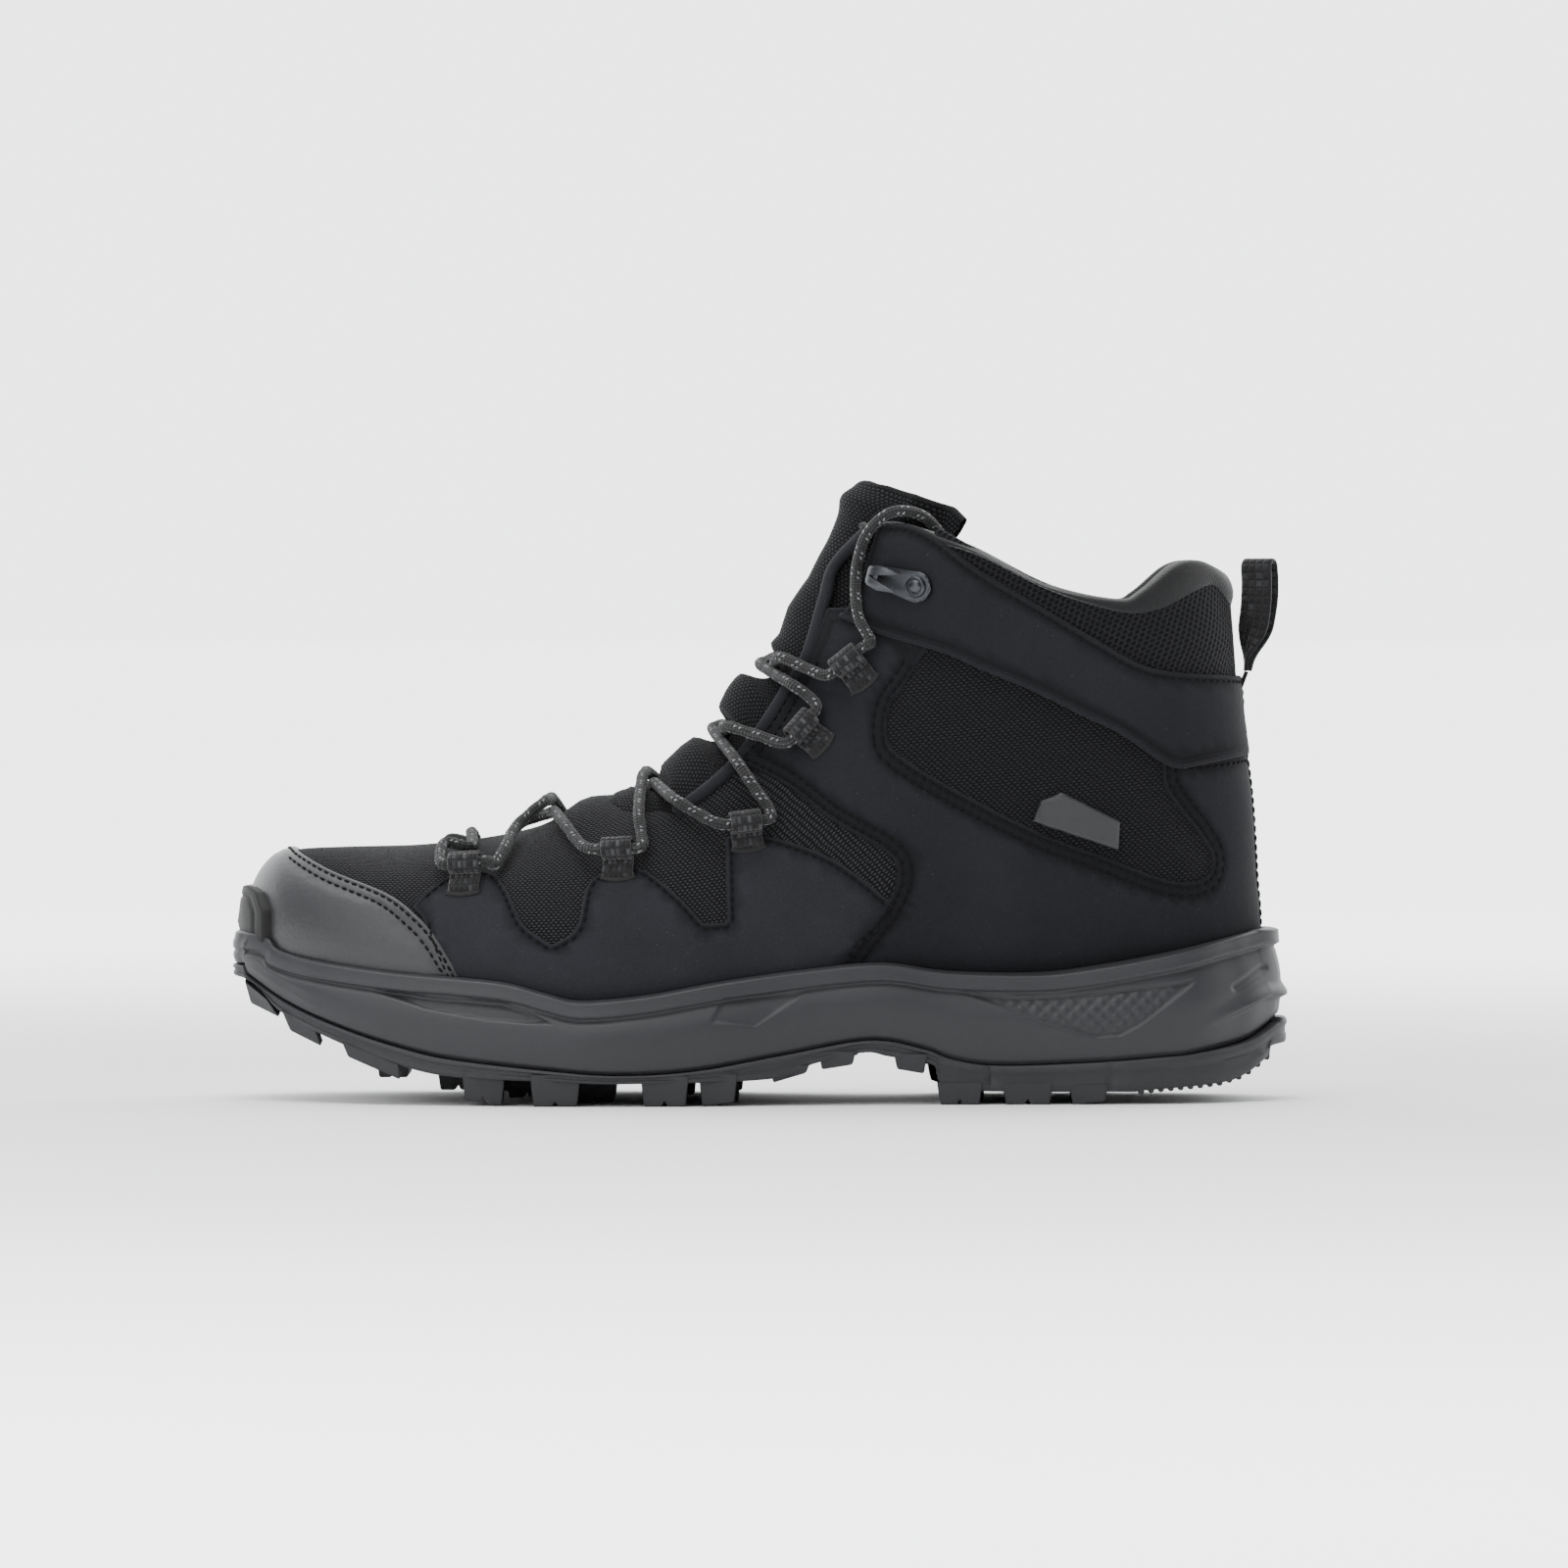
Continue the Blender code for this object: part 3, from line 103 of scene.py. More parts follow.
def station(u):
    """The nine values of the last at fractional stations u."""
    u = np.atleast_1d(np.asarray(u, float))
    i = np.clip(u, 0.0, LAST_ROW - 1e-9).astype(int)
    f = (u - i)[:, None]
    p1, p2 = STATIONS[i], STATIONS[i + 1]
    p0 = np.where(i[:, None] > 0, STATIONS[np.maximum(i - 1, 0)], 2 * p1 - p2)
    p3 = np.where(i[:, None] + 2 <= LAST_ROW, STATIONS[np.minimum(i + 2, LAST_ROW)], 2 * p2 - p1)
    return 0.5 * (2 * p1 + (p2 - p0) * f + (2 * p0 - 5 * p1 + 4 * p2 - p3) * f * f
                  + (3 * p1 - p0 - 3 * p2 + p3) * f ** 3)


def skin(u, angle):
    """Points of the outer skin; angle 0 is front/top, +-pi back/bottom, negative lateral."""
    u, angle = np.broadcast_arrays(np.atleast_1d(np.asarray(u, float)), np.asarray(angle, float))
    s = station(u)
    t = np.minimum(np.abs(angle), math.pi)
    side = np.where(angle < 0, -1.0, 1.0)
    front = t <= math.pi / 2
    power = np.where(front, s[:, 7], s[:, 8])
    bend = np.abs(np.cos(t)) ** (2 / power)
    widest = s[:, 6]
    along = np.where(front, widest * (1 - bend), widest + (1 - widest) * bend)
    across = s[:, 4] * np.abs(np.sin(t)) ** (2 / power)
    return np.stack([s[:, 0] + (s[:, 2] - s[:, 0]) * along, s[:, 5] + CENTRE_LINE + side * across,
                     s[:, 1] + (s[:, 3] - s[:, 1]) * along], axis=1)


def skin_slopes(u, angle):
    step = 0.03
    u = np.maximum(np.atleast_1d(np.asarray(u, float)), 0.02)
    u, angle = np.broadcast_arrays(u, np.asarray(angle, float))
    u0, u1 = np.maximum(u - step, 0.001), np.minimum(u + step, LAST_ROW)
    along = (skin(u1, angle) - skin(u0, angle)) / (u1 - u0)[:, None]
    safe = np.clip(angle, -math.pi + step, math.pi - step)
    around = (skin(u, safe + step) - skin(u, safe - step)) / (2 * step)
    at_end = np.abs(angle) > math.pi - step
    around[at_end, 0] = 0.0
    around[at_end, 2] = 0.0
    return along, around


def unit(v):
    return v / np.maximum(np.linalg.norm(v, axis=-1, keepdims=True), 1e-9)


def skin_normal(u, angle):
    along, around = skin_slopes(u, angle)
    normal = unit(np.cross(around, along))
    s = station(np.broadcast_to(np.atleast_1d(u), (len(normal),)))
    centre = np.stack([(s[:, 0] + s[:, 2]) / 2, s[:, 5] + CENTRE_LINE, (s[:, 1] + s[:, 3]) / 2], 1)
    flip = np.sum(normal * (skin(u, angle) - centre), axis=1) < 0
    normal[flip] *= -1
    return normal


def lifted(u, angle, height):
    u, angle = np.broadcast_arrays(np.atleast_1d(np.asarray(u, float)), np.asarray(angle, float))
    return skin(u, angle) + skin_normal(u, angle) * np.broadcast_to(height, u.shape)[:, None]


def grid_of(rows, columns):
    """Every pairing of the rows with the columns, as two flat arrays."""
    first, second = np.meshgrid(rows, columns, indexing="ij")
    return first.ravel(), second.ravel()


def place_on_last(x, z):
    """Station and angle (0..pi) of the skin points seen from the side at x, z."""
    x, z = np.atleast_1d(np.asarray(x, float)), np.atleast_1d(np.asarray(z, float))
    low, high = np.full(len(x), 0.3), np.full(len(x), float(LAST_ROW))
    for _ in range(40):
        middle = (low + high) / 2
        s = station(middle)
        beyond = (s[:, 2] - s[:, 0]) * (z - s[:, 1]) - (s[:, 3] - s[:, 1]) * (x - s[:, 0]) > 0
        low, high = np.where(beyond, middle, low), np.where(beyond, high, middle)
    s = station(low)
    dx, dz = s[:, 2] - s[:, 0], s[:, 3] - s[:, 1]
    along = np.clip(((x - s[:, 0]) * dx + (z - s[:, 1]) * dz) / (dx * dx + dz * dz), 0.0, 1.0)
    widest = s[:, 6]
    front = np.arccos(np.clip(1 - along / widest, 0, 1) ** (s[:, 7] / 2))
    back = math.pi - np.arccos(np.clip((along - widest) / (1 - widest), 0, 1) ** (s[:, 8] / 2))
    return low, np.where(along <= widest, front, back)


def on_skin(x, z, side, height):
    u, angle = place_on_last(x, z)
    return lifted(u, side * angle, height)[0]


def smoothstep(low, high, value):
    t = np.clip((value - low) / (high - low), 0.0, 1.0)
    return t * t * (3.0 - 2.0 * t)


# --------------------------------------------------------------------------- mesh helpers
def new_mesh(name, verts, faces, material, body=BOOT, replaces=(), slot=None, cloth=None,
             sharp=None):
    """Object from points in millimetres; cloth holds its weave coordinates in millimetres."""
    mesh = bpy.data.meshes.new(name)
    mesh.from_pydata((np.asarray(verts, float) * MM).tolist(), [], [tuple(f) for f in faces])
    mesh.validate()
    if cloth is not None and len(mesh.vertices) == len(cloth):
        layer = mesh.attributes.new("cloth", "FLOAT_VECTOR", "POINT")
        flat = np.zeros((len(cloth), 3))
        flat[:, :cloth.shape[1]] = cloth
        layer.data.foreach_set("vector", flat.ravel())
    mesh.materials.append(material)
    mesh.shade_smooth()
    if sharp is not None:
        mesh.set_sharp_from_angle(angle=math.radians(sharp))
    obj = bpy.data.objects.new(name, mesh)
    bpy.context.scene.collection.objects.link(obj)
    if body is not None:
        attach(obj, body)
    if replaces:
        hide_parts(*replaces)
    return obj


def grid_faces(rows, columns, closed=False, start=0):
    faces = []
    last = columns if closed else columns - 1
    for r in range(rows - 1):
        for c in range(last):
            n = (c + 1) % columns
            a = start + r * columns
            faces.append((a + c, a + n, a + columns + n, a + columns + c))
    return faces


def tube_mesh(name, rings, material, **extra):
    """Closed tube from rings of points, with a flat face at both ends."""
    rows, count = rings.shape[:2]
    last = rows * count
    ends = [tuple(range(count))[::-1], tuple(range(last - count, last))]
    return new_mesh(name, rings.reshape(-1, 3), grid_faces(rows, count, True) + ends, material,
                    **extra)


def catmull(points, per_span, closed):
    """Smooth curve through points; a point given twice running stays a sharp corner."""
    p = np.asarray(points, float)
    n = len(p)
    out = []
    for i in range(n if closed else n - 1):
        p1, p2 = p[i], p[(i + 1) % n]
        if np.allclose(p1, p2):
            continue
        p0 = p[i - 1] if closed or i > 0 else 2 * p1 - p2
        p3 = p[(i + 2) % n] if closed or i + 2 < n else 2 * p2 - p1
        if np.allclose(p0, p1):
            p0 = 2 * p1 - p2
        if np.allclose(p3, p2):
            p3 = 2 * p2 - p1
        for k in range(per_span):
            f = k / per_span
            out.append(0.5 * (2 * p1 + (p2 - p0) * f + (2 * p0 - 5 * p1 + 4 * p2 - p3) * f * f
                              + (3 * p1 - p0 - 3 * p2 + p3) * f ** 3))
    if not closed:
        out.append(p[-1])
    return np.array(out)


def run_along(points):
    """Distance travelled along a line of points, from zero."""
    return np.concatenate([[0.0], np.cumsum(np.linalg.norm(np.diff(points, axis=0), axis=1))])


def resample(points, spacing, closed=False):
    p = np.asarray(points, float)
    if closed:
        p = np.vstack([p, p[:1]])
    lengths = run_along(p)
    count = max(3, int(round(lengths[-1] / spacing)) + 1)
    wanted = np.linspace(0.0, lengths[-1], count)
    out = np.stack([np.interp(wanted, lengths, p[:, k]) for k in range(p.shape[1])], axis=1)
    return out[:-1] if closed else out


# ------------------------------------------------------------------------- curved panels
U_SCALE, A_SCALE = 15.0, 38.0      # rough millimetres per station and per radian


def inside(polygon, points):
    x, y = points[:, 0], points[:, 1]
    result = np.zeros(len(points), bool)
    for (x1, y1), (x2, y2) in zip(polygon, np.roll(polygon, -1, axis=0)):
        crosses = (y1 > y) != (y2 > y)
        with np.errstate(divide="ignore", invalid="ignore"):
            result ^= crosses & (x < (x2 - x1) * (y - y1) / (y2 - y1) + x1)
    return result


def even_outline(outline, spacing):
    """The outline with points evenly spaced on the skin."""
    flat = skin(outline[:, 0], outline[:, 1])
    closed = np.vstack([flat, flat[:1]])
    lengths = run_along(closed)
    wanted = np.linspace(0.0, lengths[-1], max(8, int(lengths[-1] / spacing)) + 1)[:-1]
    both = np.vstack([outline, outline[:1]])
    return np.stack([np.interp(wanted, lengths, both[:, k]) for k in range(2)], axis=1)


def step_inward(outline, distance):
    """Every outline point moved inward over the skin."""
    u, a = outline[:, 0], outline[:, 1]
    along, around = skin_slopes(u, a)
    flat = outline * (U_SCALE, A_SCALE)
    turn = np.sum(flat[:, 0] * np.roll(flat[:, 1], -1) - np.roll(flat[:, 0], -1) * flat[:, 1])
    points = skin(u, a)
    tangent = unit(np.roll(points, -1, axis=0) - np.roll(points, 1, axis=0))
    flat_tangent = np.roll(flat, -1, axis=0) - np.roll(flat, 1, axis=0)
    inward_flat = np.stack([-flat_tangent[:, 1], flat_tangent[:, 0]], 1) * (1 if turn > 0 else -1)
    normal = skin_normal(u, a)
    inward = np.cross(normal, tangent)
    e, f, g = (np.sum(p * q, axis=1)
               for p, q in ((along, along), (along, around), (around, around)))
    b1, b2 = np.sum(inward * along, axis=1), np.sum(inward * around, axis=1)
    det = np.maximum(e * g - f * f, 1e-6)
    step = np.stack([(g * b1 - f * b2) / det, (e * b2 - f * b1) / det], axis=1)
    wrong = np.sum(step * (U_SCALE, A_SCALE) * inward_flat, axis=1) < 0
    step[wrong] *= -1
    return outline + step * distance


def tree_of(points):
    tree = KDTree(len(points))
    for i, p in enumerate(points):
        tree.insert(p, i)
    tree.balance()
    return tree


def shown(outline, feather_margin=3.0):
    """Which outline points are edges to be seen, and not lasting margins under the sole."""
    p = skin(outline[:, 0], outline[:, 1])
    return (p[:, 2] > read_line(FEATHER, p[:, 0]) - feather_margin) & (outline[:, 0] > 0.3)


stitches = []


def add_stitches(outline, inset, top, keep=None, pitch=2.35):
    """A row of thread stitches at an inset from the outline's visible edges."""
    line = step_inward(outline, inset)
    points = skin(line[:, 0], line[:, 1])
    edge = outline[shown(outline, 0.5)]
    tree = tree_of(skin(edge[:, 0], edge[:, 1]))
    good = np.array([tree.find(p)[2] > inset * 0.9 for p in points]) & shown(outline, 0.5)
    if keep is not None:
        good &= keep(points)
    travelled = 0.0
    for i in range(len(line)):
        step = np.linalg.norm(points[i] - points[i - 1])
        if not good[i] or not good[i - 1] or step > 3.0:
            travelled = pitch
            continue
        travelled += step
        if travelled >= pitch:
            travelled = 0.0
            normal = skin_normal(line[i, 0], line[i, 1])[0]
            stitches.append((points[i] + normal * top, unit(points[i] - points[i - 1]), normal))


def build_stitches(name, material, length=1.8, width=0.4):
    """Every stitch as a small rounded run of thread."""
    profile = [(-0.5, 0.0), (-0.42, 0.7), (0.0, 1.0), (0.42, 0.7), (0.5, 0.0)]
    verts, faces = [], []
    for centre, along, normal in stitches:
        side = np.cross(normal, along)
        base = len(verts)
        for reach, size in profile[1:-1]:
            for k in range(6):
                turn = k * math.pi / 3
                verts.append(centre + along * reach * length
                             + side * (math.cos(turn) * width * size)
                             + normal * (math.sin(turn) * width * 0.9 * size))
        verts.append(centre - along * length * 0.5)
        verts.append(centre + along * length * 0.5)
        faces += grid_faces(3, 6, True, base)
        for k in range(6):
            faces.append((base + (k + 1) % 6, base + k, base + 18))
            faces.append((base + 12 + k, base + 12 + (k + 1) % 6, base + 19))
    return new_mesh(name, verts, faces, material)


def panel(name, outline, base, top, material, spacing=2.2, grooves=(), weave="side",
          relief=None, round_edge=1.1, **extra):
    """A sheet on the last with rounded edges: base and top are heights above the skin."""
    outline = even_outline(outline, EDGE_STEP)
    rings = [outline]
    edge_mask = shown(outline)
    edge = outline[edge_mask]
    tree = tree_of(skin(edge[:, 0], edge[:, 1])) if len(edge) else None
    whole = tree_of(skin(outline[:, 0], outline[:, 1]))
    distances = [0.14, 0.4, 0.85, 1.4]
    for groove in grooves:
        distances += [groove - 0.45, groove, groove + 0.45]
    for distance in distances:
        ring = step_inward(outline, distance)
        points = skin(ring[:, 0], ring[:, 1])
        near = np.array([whole.find(p)[2] for p in points])
        keep = (near > distance * 0.86) & edge_mask & inside(outline, ring)
        rings.append(ring[keep])
    low, high = outline.min(axis=0), outline.max(axis=0)
    du, da = spacing / U_SCALE, spacing / A_SCALE
    us, angles = np.arange(low[0], high[0], du), np.arange(low[1], high[1], da)
    gu, ga = np.meshgrid(us, angles, indexing="ij")
    ga = ga + (np.arange(len(us)) % 2)[:, None] * da / 2
    inner = np.stack([gu.ravel(), ga.ravel()], 1)
    inner = inner[inside(outline, inner)]
    ring_tree = tree_of(skin(np.vstack(rings)[:, 0], np.vstack(rings)[:, 1]))
    points = skin(inner[:, 0], inner[:, 1])
    inner = inner[np.array([ring_tree.find(p)[2] for p in points]) > spacing * 0.45]
    flat = np.vstack(rings + [inner]) * (U_SCALE, A_SCALE)
    n = len(outline)
    edges = [(i, (i + 1) % n) for i in range(n)]
    result = delaunay_2d_cdt([Vector(p) for p in flat], edges, [], 1, 1e-5)
    uv = np.array([tuple(v) for v in result[0]]) / (U_SCALE, A_SCALE)
    faces = [f for f in result[2] if len(f) >= 3]
    points = skin(uv[:, 0], uv[:, 1])
    distance = np.array([tree.find(p)[2] for p in points]) if tree else np.full(len(points), 99.0)
    rise = np.sqrt(np.clip(1 - (1 - np.clip(distance / round_edge, 0, 1)) ** 2, 0, 1))
    height = base + (top - base) * rise
    seam = np.zeros(len(distance))
    for groove in grooves:
        seam = np.maximum(seam, np.exp(-((distance - groove) / FURROW_WIDTH) ** 2))
    height = height - FURROW_DEPTH * seam
    if relief is not None:
        height = height + relief(uv[:, 0], uv[:, 1], points, distance)
    normals = skin_normal(uv[:, 0], uv[:, 1])
    verts = points + normals * height[:, None]
    a, b, c = (verts[[f[k] for f in faces]] for k in range(3))
    middle = normals[[f[0] for f in faces]]
    inverted = np.sum(np.cross(b - a, c - a) * middle, axis=1) < 0
    faces = [tuple(reversed(f)) if bad else tuple(f) for f, bad in zip(faces, inverted)]
    # Painted shade: a dark band along the cut edges joins the furrow mask, and both go out as the
    # third cloth coordinate
    seam = np.maximum(seam, PAINTED_EDGE_SHADE * (1 - smoothstep(0.0, SEAM_REACH, distance)))
    cloth = np.column_stack([weave_coordinates(weave, uv, verts), seam])
    return new_mesh(name, verts, faces, material, cloth=cloth, **extra)


def weave_coordinates(kind, uv, verts):
    """Flat millimetre coordinates, the same on both sides of the foot, for weaves."""
    if kind == "side":
        return verts[:, [0, 2]]
    arc = -np.abs(arc_length(uv[:, 0], uv[:, 1]))
    if kind == "across":
        return np.stack([verts[:, 0], arc], axis=1)
    return np.stack([arc, verts[:, 2]], axis=1)


ARC_STEPS, ARC_ROWS = 40, 84
ARC_TABLE = np.array([
    run_along(skin(np.full(ARC_STEPS + 1, u), np.linspace(0.0, math.pi, ARC_STEPS + 1)))
    for u in np.linspace(0.0, LAST_ROW, ARC_ROWS + 1)])


def arc_length(u, angle):
    """Distance over the skin from the ridge to an angle, negative on the lateral side."""
    row = np.clip(u / LAST_ROW * ARC_ROWS, 0, ARC_ROWS - 0.001)
    column = np.clip(np.abs(angle) / math.pi * ARC_STEPS, 0, ARC_STEPS - 0.001)
    i, j = row.astype(int), column.astype(int)
    f, g = row - i, column - j
    t = ARC_TABLE
    value = (t[i, j] * (1 - f) * (1 - g) + t[i + 1, j] * f * (1 - g) + t[i, j + 1] * (1 - f) * g
             + t[i + 1, j + 1] * f * g)
    return np.sign(angle) * value


# ------------------------------------------------------------------------------ materials
class Look:
    """One procedural material: a Principled shader and short ways to add nodes to it."""

    def __init__(self, name, colour, roughness, **constants):
        self.material = bpy.data.materials.new(name)
        self.material.use_nodes = True
        self.tree = self.material.node_tree
        self.shader = self.tree.nodes["Principled BSDF"]
        self.set("Base Color", (*colour, 1.0))
        self.set("Roughness", roughness)
        for key, value in constants.items():
            self.set(key.replace("_", " ").title().replace("Ior", "IOR"), value)

    def set(self, socket, value):
        self.join(self.shader.inputs[socket], value)

    def join(self, socket, value):
        if isinstance(value, bpy.types.NodeSocket):
            self.tree.links.new(value, socket)
        else:
            socket.default_value = value

    def node(self, kind, inputs, output=0, **settings):
        node = self.tree.nodes.new("ShaderNode" + kind)
        for key, value in settings.items():
            setattr(node, key, value)
        for key, value in inputs.items():
            self.join(node.inputs[key], value)
        return node.outputs[output]

    def math(self, operation, a, b=0.0, c=0.0, clamp=False):
        return self.node("Math", {0: a, 1: b, 2: c}, operation=operation, use_clamp=clamp)

    def place(self):
        """Position on the boot, in millimetres."""
        where = self.node("TexCoord", {}, "Object")
        return self.node("VectorMath", {0: where, "Scale": 1000.0}, operation="SCALE")

    def cloth_parts(self):
        """Flat x and y of the cloth, in millimetres, and how much painted shade it takes at seams
        and cut edges.
        """
        where = self.node("Attribute", {}, "Vector", attribute_name="cloth")
        xyz = self.tree.nodes.new("ShaderNodeSeparateXYZ")
        self.join(xyz.inputs[0], where)
        return xyz.outputs[0], xyz.outputs[1], xyz.outputs[2]

    def cloth(self):
        return self.cloth_parts()[:2]

    def base_colour(self):
        return self.shader.inputs["Base Color"].links[0].from_socket

    def paint_seam_shade(self, amount=0.6):
        """Painted shade: darkens the colour in stitch furrows and along cut edges, from the third
        cloth coordinate.
        """
        factor = self.math("MULTIPLY", self.cloth_parts()[2], amount, clamp=True)
        self.set("Base Color", self.blend(factor, self.base_colour(), (0.0012, 0.0012, 0.0014)))

    def noise(self, size, detail=3.0, where=None, distortion=0.0):
        """Noise with features of a size in millimetres, from 0 to 1."""
        where = self.place() if where is None else where
        return self.node("TexNoise", {"Vector": where, "Scale": 1.0 / size, "Detail": detail,
                                      "Distortion": distortion}, 0)

    def cells(self, size, feature="F1"):
        return self.node("TexVoronoi", {"Vector": self.place(), "Scale": 1.0 / size}, 0,
                         feature=feature)

    def ramp(self, value, low, high, new_low=0.0, new_high=1.0):
        return self.node("MapRange", {0: value, 1: low, 2: high, 3: new_low, 4: new_high},
                         clamp=True)

    def blend(self, factor, a, b):
        node = self.tree.nodes.new("ShaderNodeMix")
        node.data_type = "RGBA"
        self.join(node.inputs[0], factor)
        self.join(node.inputs[6], a if isinstance(a, bpy.types.NodeSocket) else (*a, 1.0))
        self.join(node.inputs[7], b if isinstance(b, bpy.types.NodeSocket) else (*b, 1.0))
        return node.outputs[2]

    def bump(self, height, depth, strength=1.0):
        """Relief from a 0 to 1 height, depth in millimetres; each call adds to the last."""
        inputs = {"Height": height, "Distance": depth * MM, "Strength": strength}
        if self.shader.inputs["Normal"].is_linked:
            inputs["Normal"] = self.shader.inputs["Normal"].links[0].from_socket
        self.set("Normal", self.node("Bump", inputs))


def shade(colour, factor):
    return tuple(c * factor for c in colour)


def grained_look(name, colour, roughness, grain, depth, spread=0.25, **constants):
    """Solid stuff with fine grain, slow cloudy change of colour and uneven polish."""
    look = Look(name, colour, roughness, **constants)
    cloud = look.noise(38.0, 4.0)
    fine = look.noise(grain, 5.0)
    mixed = look.math("ADD", look.math("MULTIPLY", cloud, 0.6), look.math("MULTIPLY", fine, 0.4))
    look.set("Base Color", look.blend(look.ramp(mixed, 0.32, 0.68), shade(colour, 1 - spread),
                                      shade(colour, 1 + spread)))
    look.set("Roughness", look.ramp(cloud, 0.3, 0.7, roughness - 0.05, roughness + 0.05))
    look.bump(fine, depth)
    return look


def nubuck_look(name, colour):
    """Buffed leather: short nap in brushed clouds, with pale dust specks."""
    look = grained_look(name, colour, 0.9, 0.5, 0.09, 0.3, sheen_weight=0.05,
                        sheen_roughness=0.5, specular_ior_level=0.12)
    brushed = look.noise(7.0, 3.0, distortion=1.4)
    look.bump(brushed, 0.12)
    specks = look.ramp(look.cells(2.1), 0.05, 0.11, 1.0, 0.0)
    chosen = look.math("MULTIPLY", specks, look.ramp(look.noise(9.0), 0.52, 0.60))
    look.set("Base Color", look.blend(look.math("MULTIPLY", chosen, 0.1), look.base_colour(),
                                      (0.3, 0.29, 0.28)))
    # painted shade in the stitch furrows and along the cut edges
    look.paint_seam_shade()
    return look.material


def leather_look(name, colour):
    """Smooth coated leather with a tight grain and soft creases."""
    look = grained_look(name, colour, 0.46, 0.9, 0.02, 0.12, coat_weight=0.12,
                        coat_roughness=0.35)
    pebbles = look.ramp(look.cells(0.85, "SMOOTH_F1"), 0.1, 0.6)
    look.bump(pebbles, 0.035)
    look.bump(look.noise(9.0, 3.0, distortion=0.8), 0.25)
    # painted shade in the stitch furrows and along the cut edges
    look.paint_seam_shade(0.5)
    return look.material


def brick_knit_look(name, colour, bar, row, gap_shade_colour, slant=0.0, lift=0.45):
    """Knit of short raised bars in offset rows, bar and row in millimetres."""
    look = Look(name, colour, 0.9, sheen_weight=0.04, sheen_roughness=0.5,
                specular_ior_level=0.15)
    x, y = look.cloth()
    sway = look.math("MULTIPLY", look.math("SUBTRACT", look.noise(4.0, 2.0), 0.5), 0.55)
    y = look.math("ADD", look.math("ADD", y, look.math("MULTIPLY", x, slant)), sway)
    x = look.math("ADD", x, sway)
    line = look.math("DIVIDE", y, row)
    index = look.math("FLOOR", line)
    v = look.math("SUBTRACT", line, index)
    odd = look.math("MULTIPLY", look.math("PINGPONG", index, 1.0), 0.5)
    u = look.math("FRACT", look.math("ADD", look.math("DIVIDE", x, bar), odd))
    across = look.math("SINE", look.math("MULTIPLY", v, math.pi))
    along = look.math("POWER", look.math("SINE", look.math("MULTIPLY", u, math.pi)), 0.8)
    height = look.math("MULTIPLY", look.math("POWER", across, 0.8), along)
    fibres = look.noise(0.28, 2.0)
    height = look.math("ADD", height, look.math("MULTIPLY", fibres, 0.18))
    # Painted shade: the gaps between the bars take the much darker gap colour
    look.set("Base Color", look.blend(look.ramp(height, 0.42, 1.02), gap_shade_colour, colour))
    look.bump(height, lift)
    return look.material


def holed_mesh_look(name, colour, pitch_x, pitch_y, hole_shade_colour, hole=0.37, lift=0.5):
    """Spacer mesh: a square net of round holes between rounded ribs."""
    look = Look(name, colour, 0.9, sheen_weight=0.04, sheen_roughness=0.5,
                specular_ior_level=0.15)
    x, y = look.cloth()
    sway = look.math("MULTIPLY", look.math("SUBTRACT", look.noise(9.0, 2.0), 0.5), 1.1)
    rib = look.math("DIVIDE", look.math("ADD", x, sway), pitch_x)
    index = look.math("FLOOR", rib)
    u = look.math("SUBTRACT", look.math("SUBTRACT", rib, index), 0.5)
    odd = look.math("MULTIPLY", look.math("PINGPONG", index, 1.0), 0.5)
    line = look.math("ADD", look.math("DIVIDE", look.math("ADD", y, sway), pitch_y), odd)
    v = look.math("SUBTRACT", look.math("FRACT", line), 0.5)
    reach = look.math("SQRT", look.math("ADD", look.math("MULTIPLY", u, u),
                                        look.math("MULTIPLY", v, v)))
    ground = look.ramp(reach, hole * 0.55, hole + 0.16)
    fibres = look.math("MULTIPLY", look.noise(0.3, 2.0), 0.2)
    height = look.math("ADD", ground, fibres)
    # Painted shade: the holes are no openings, only painted dark over a bump
    look.set("Base Color", look.blend(look.ramp(reach, hole * 0.85, hole * 1.25), hole_shade_colour,
                                      colour))
    look.bump(height, lift)
    return look.material


def tricot_look(name, colour):
    """Soft brushed lining with a fine diagonal rib."""
    look = grained_look(name, colour, 0.92, 0.7, 0.06, 0.18, sheen_weight=0.35,
                        sheen_roughness=0.45, specular_ior_level=0.2)
    wave = look.node("TexWave", {"Vector": look.place(), "Scale": 0.55, "Distortion": 0.6},
                     bands_direction="DIAGONAL")
    look.bump(wave, 0.07)
    return look.material


def tape_look(name, colour, light, cell_width=1.8, cell_length=2.3):
    """Woven tape: square raised blocks in columns, some of them of a paler yarn."""
    look = Look(name, colour, 0.82, sheen_weight=0.12, specular_ior_level=0.3)
    x, y = look.cloth()
    column = look.math("DIVIDE", x, cell_width)
    line = look.math("DIVIDE", y, cell_length)
    u = look.math("SUBTRACT", look.math("FRACT", column), 0.5)
    v = look.math("SUBTRACT", look.math("FRACT", line), 0.5)
    block = look.math("MAXIMUM", look.math("ABSOLUTE", u), look.math("ABSOLUTE", v))
    height = look.ramp(block, 0.5, 0.22)
    cell = look.node("CombineXYZ", {0: look.math("FLOOR", column), 1: look.math("FLOOR", line)})
    chance = look.node("TexWhiteNoise", {"Vector": cell}, "Value")
    threads = look.math("SINE", look.math("MULTIPLY", x, 9.0))
    height = look.math("ADD", height, look.math("MULTIPLY", threads, 0.08))
    pale = look.math("MULTIPLY", look.ramp(chance, 0.45, 0.95), look.ramp(height, 0.2, 0.9))
    look.set("Base Color", look.blend(pale, colour, light))
    look.bump(height, 0.4)
    return look.material


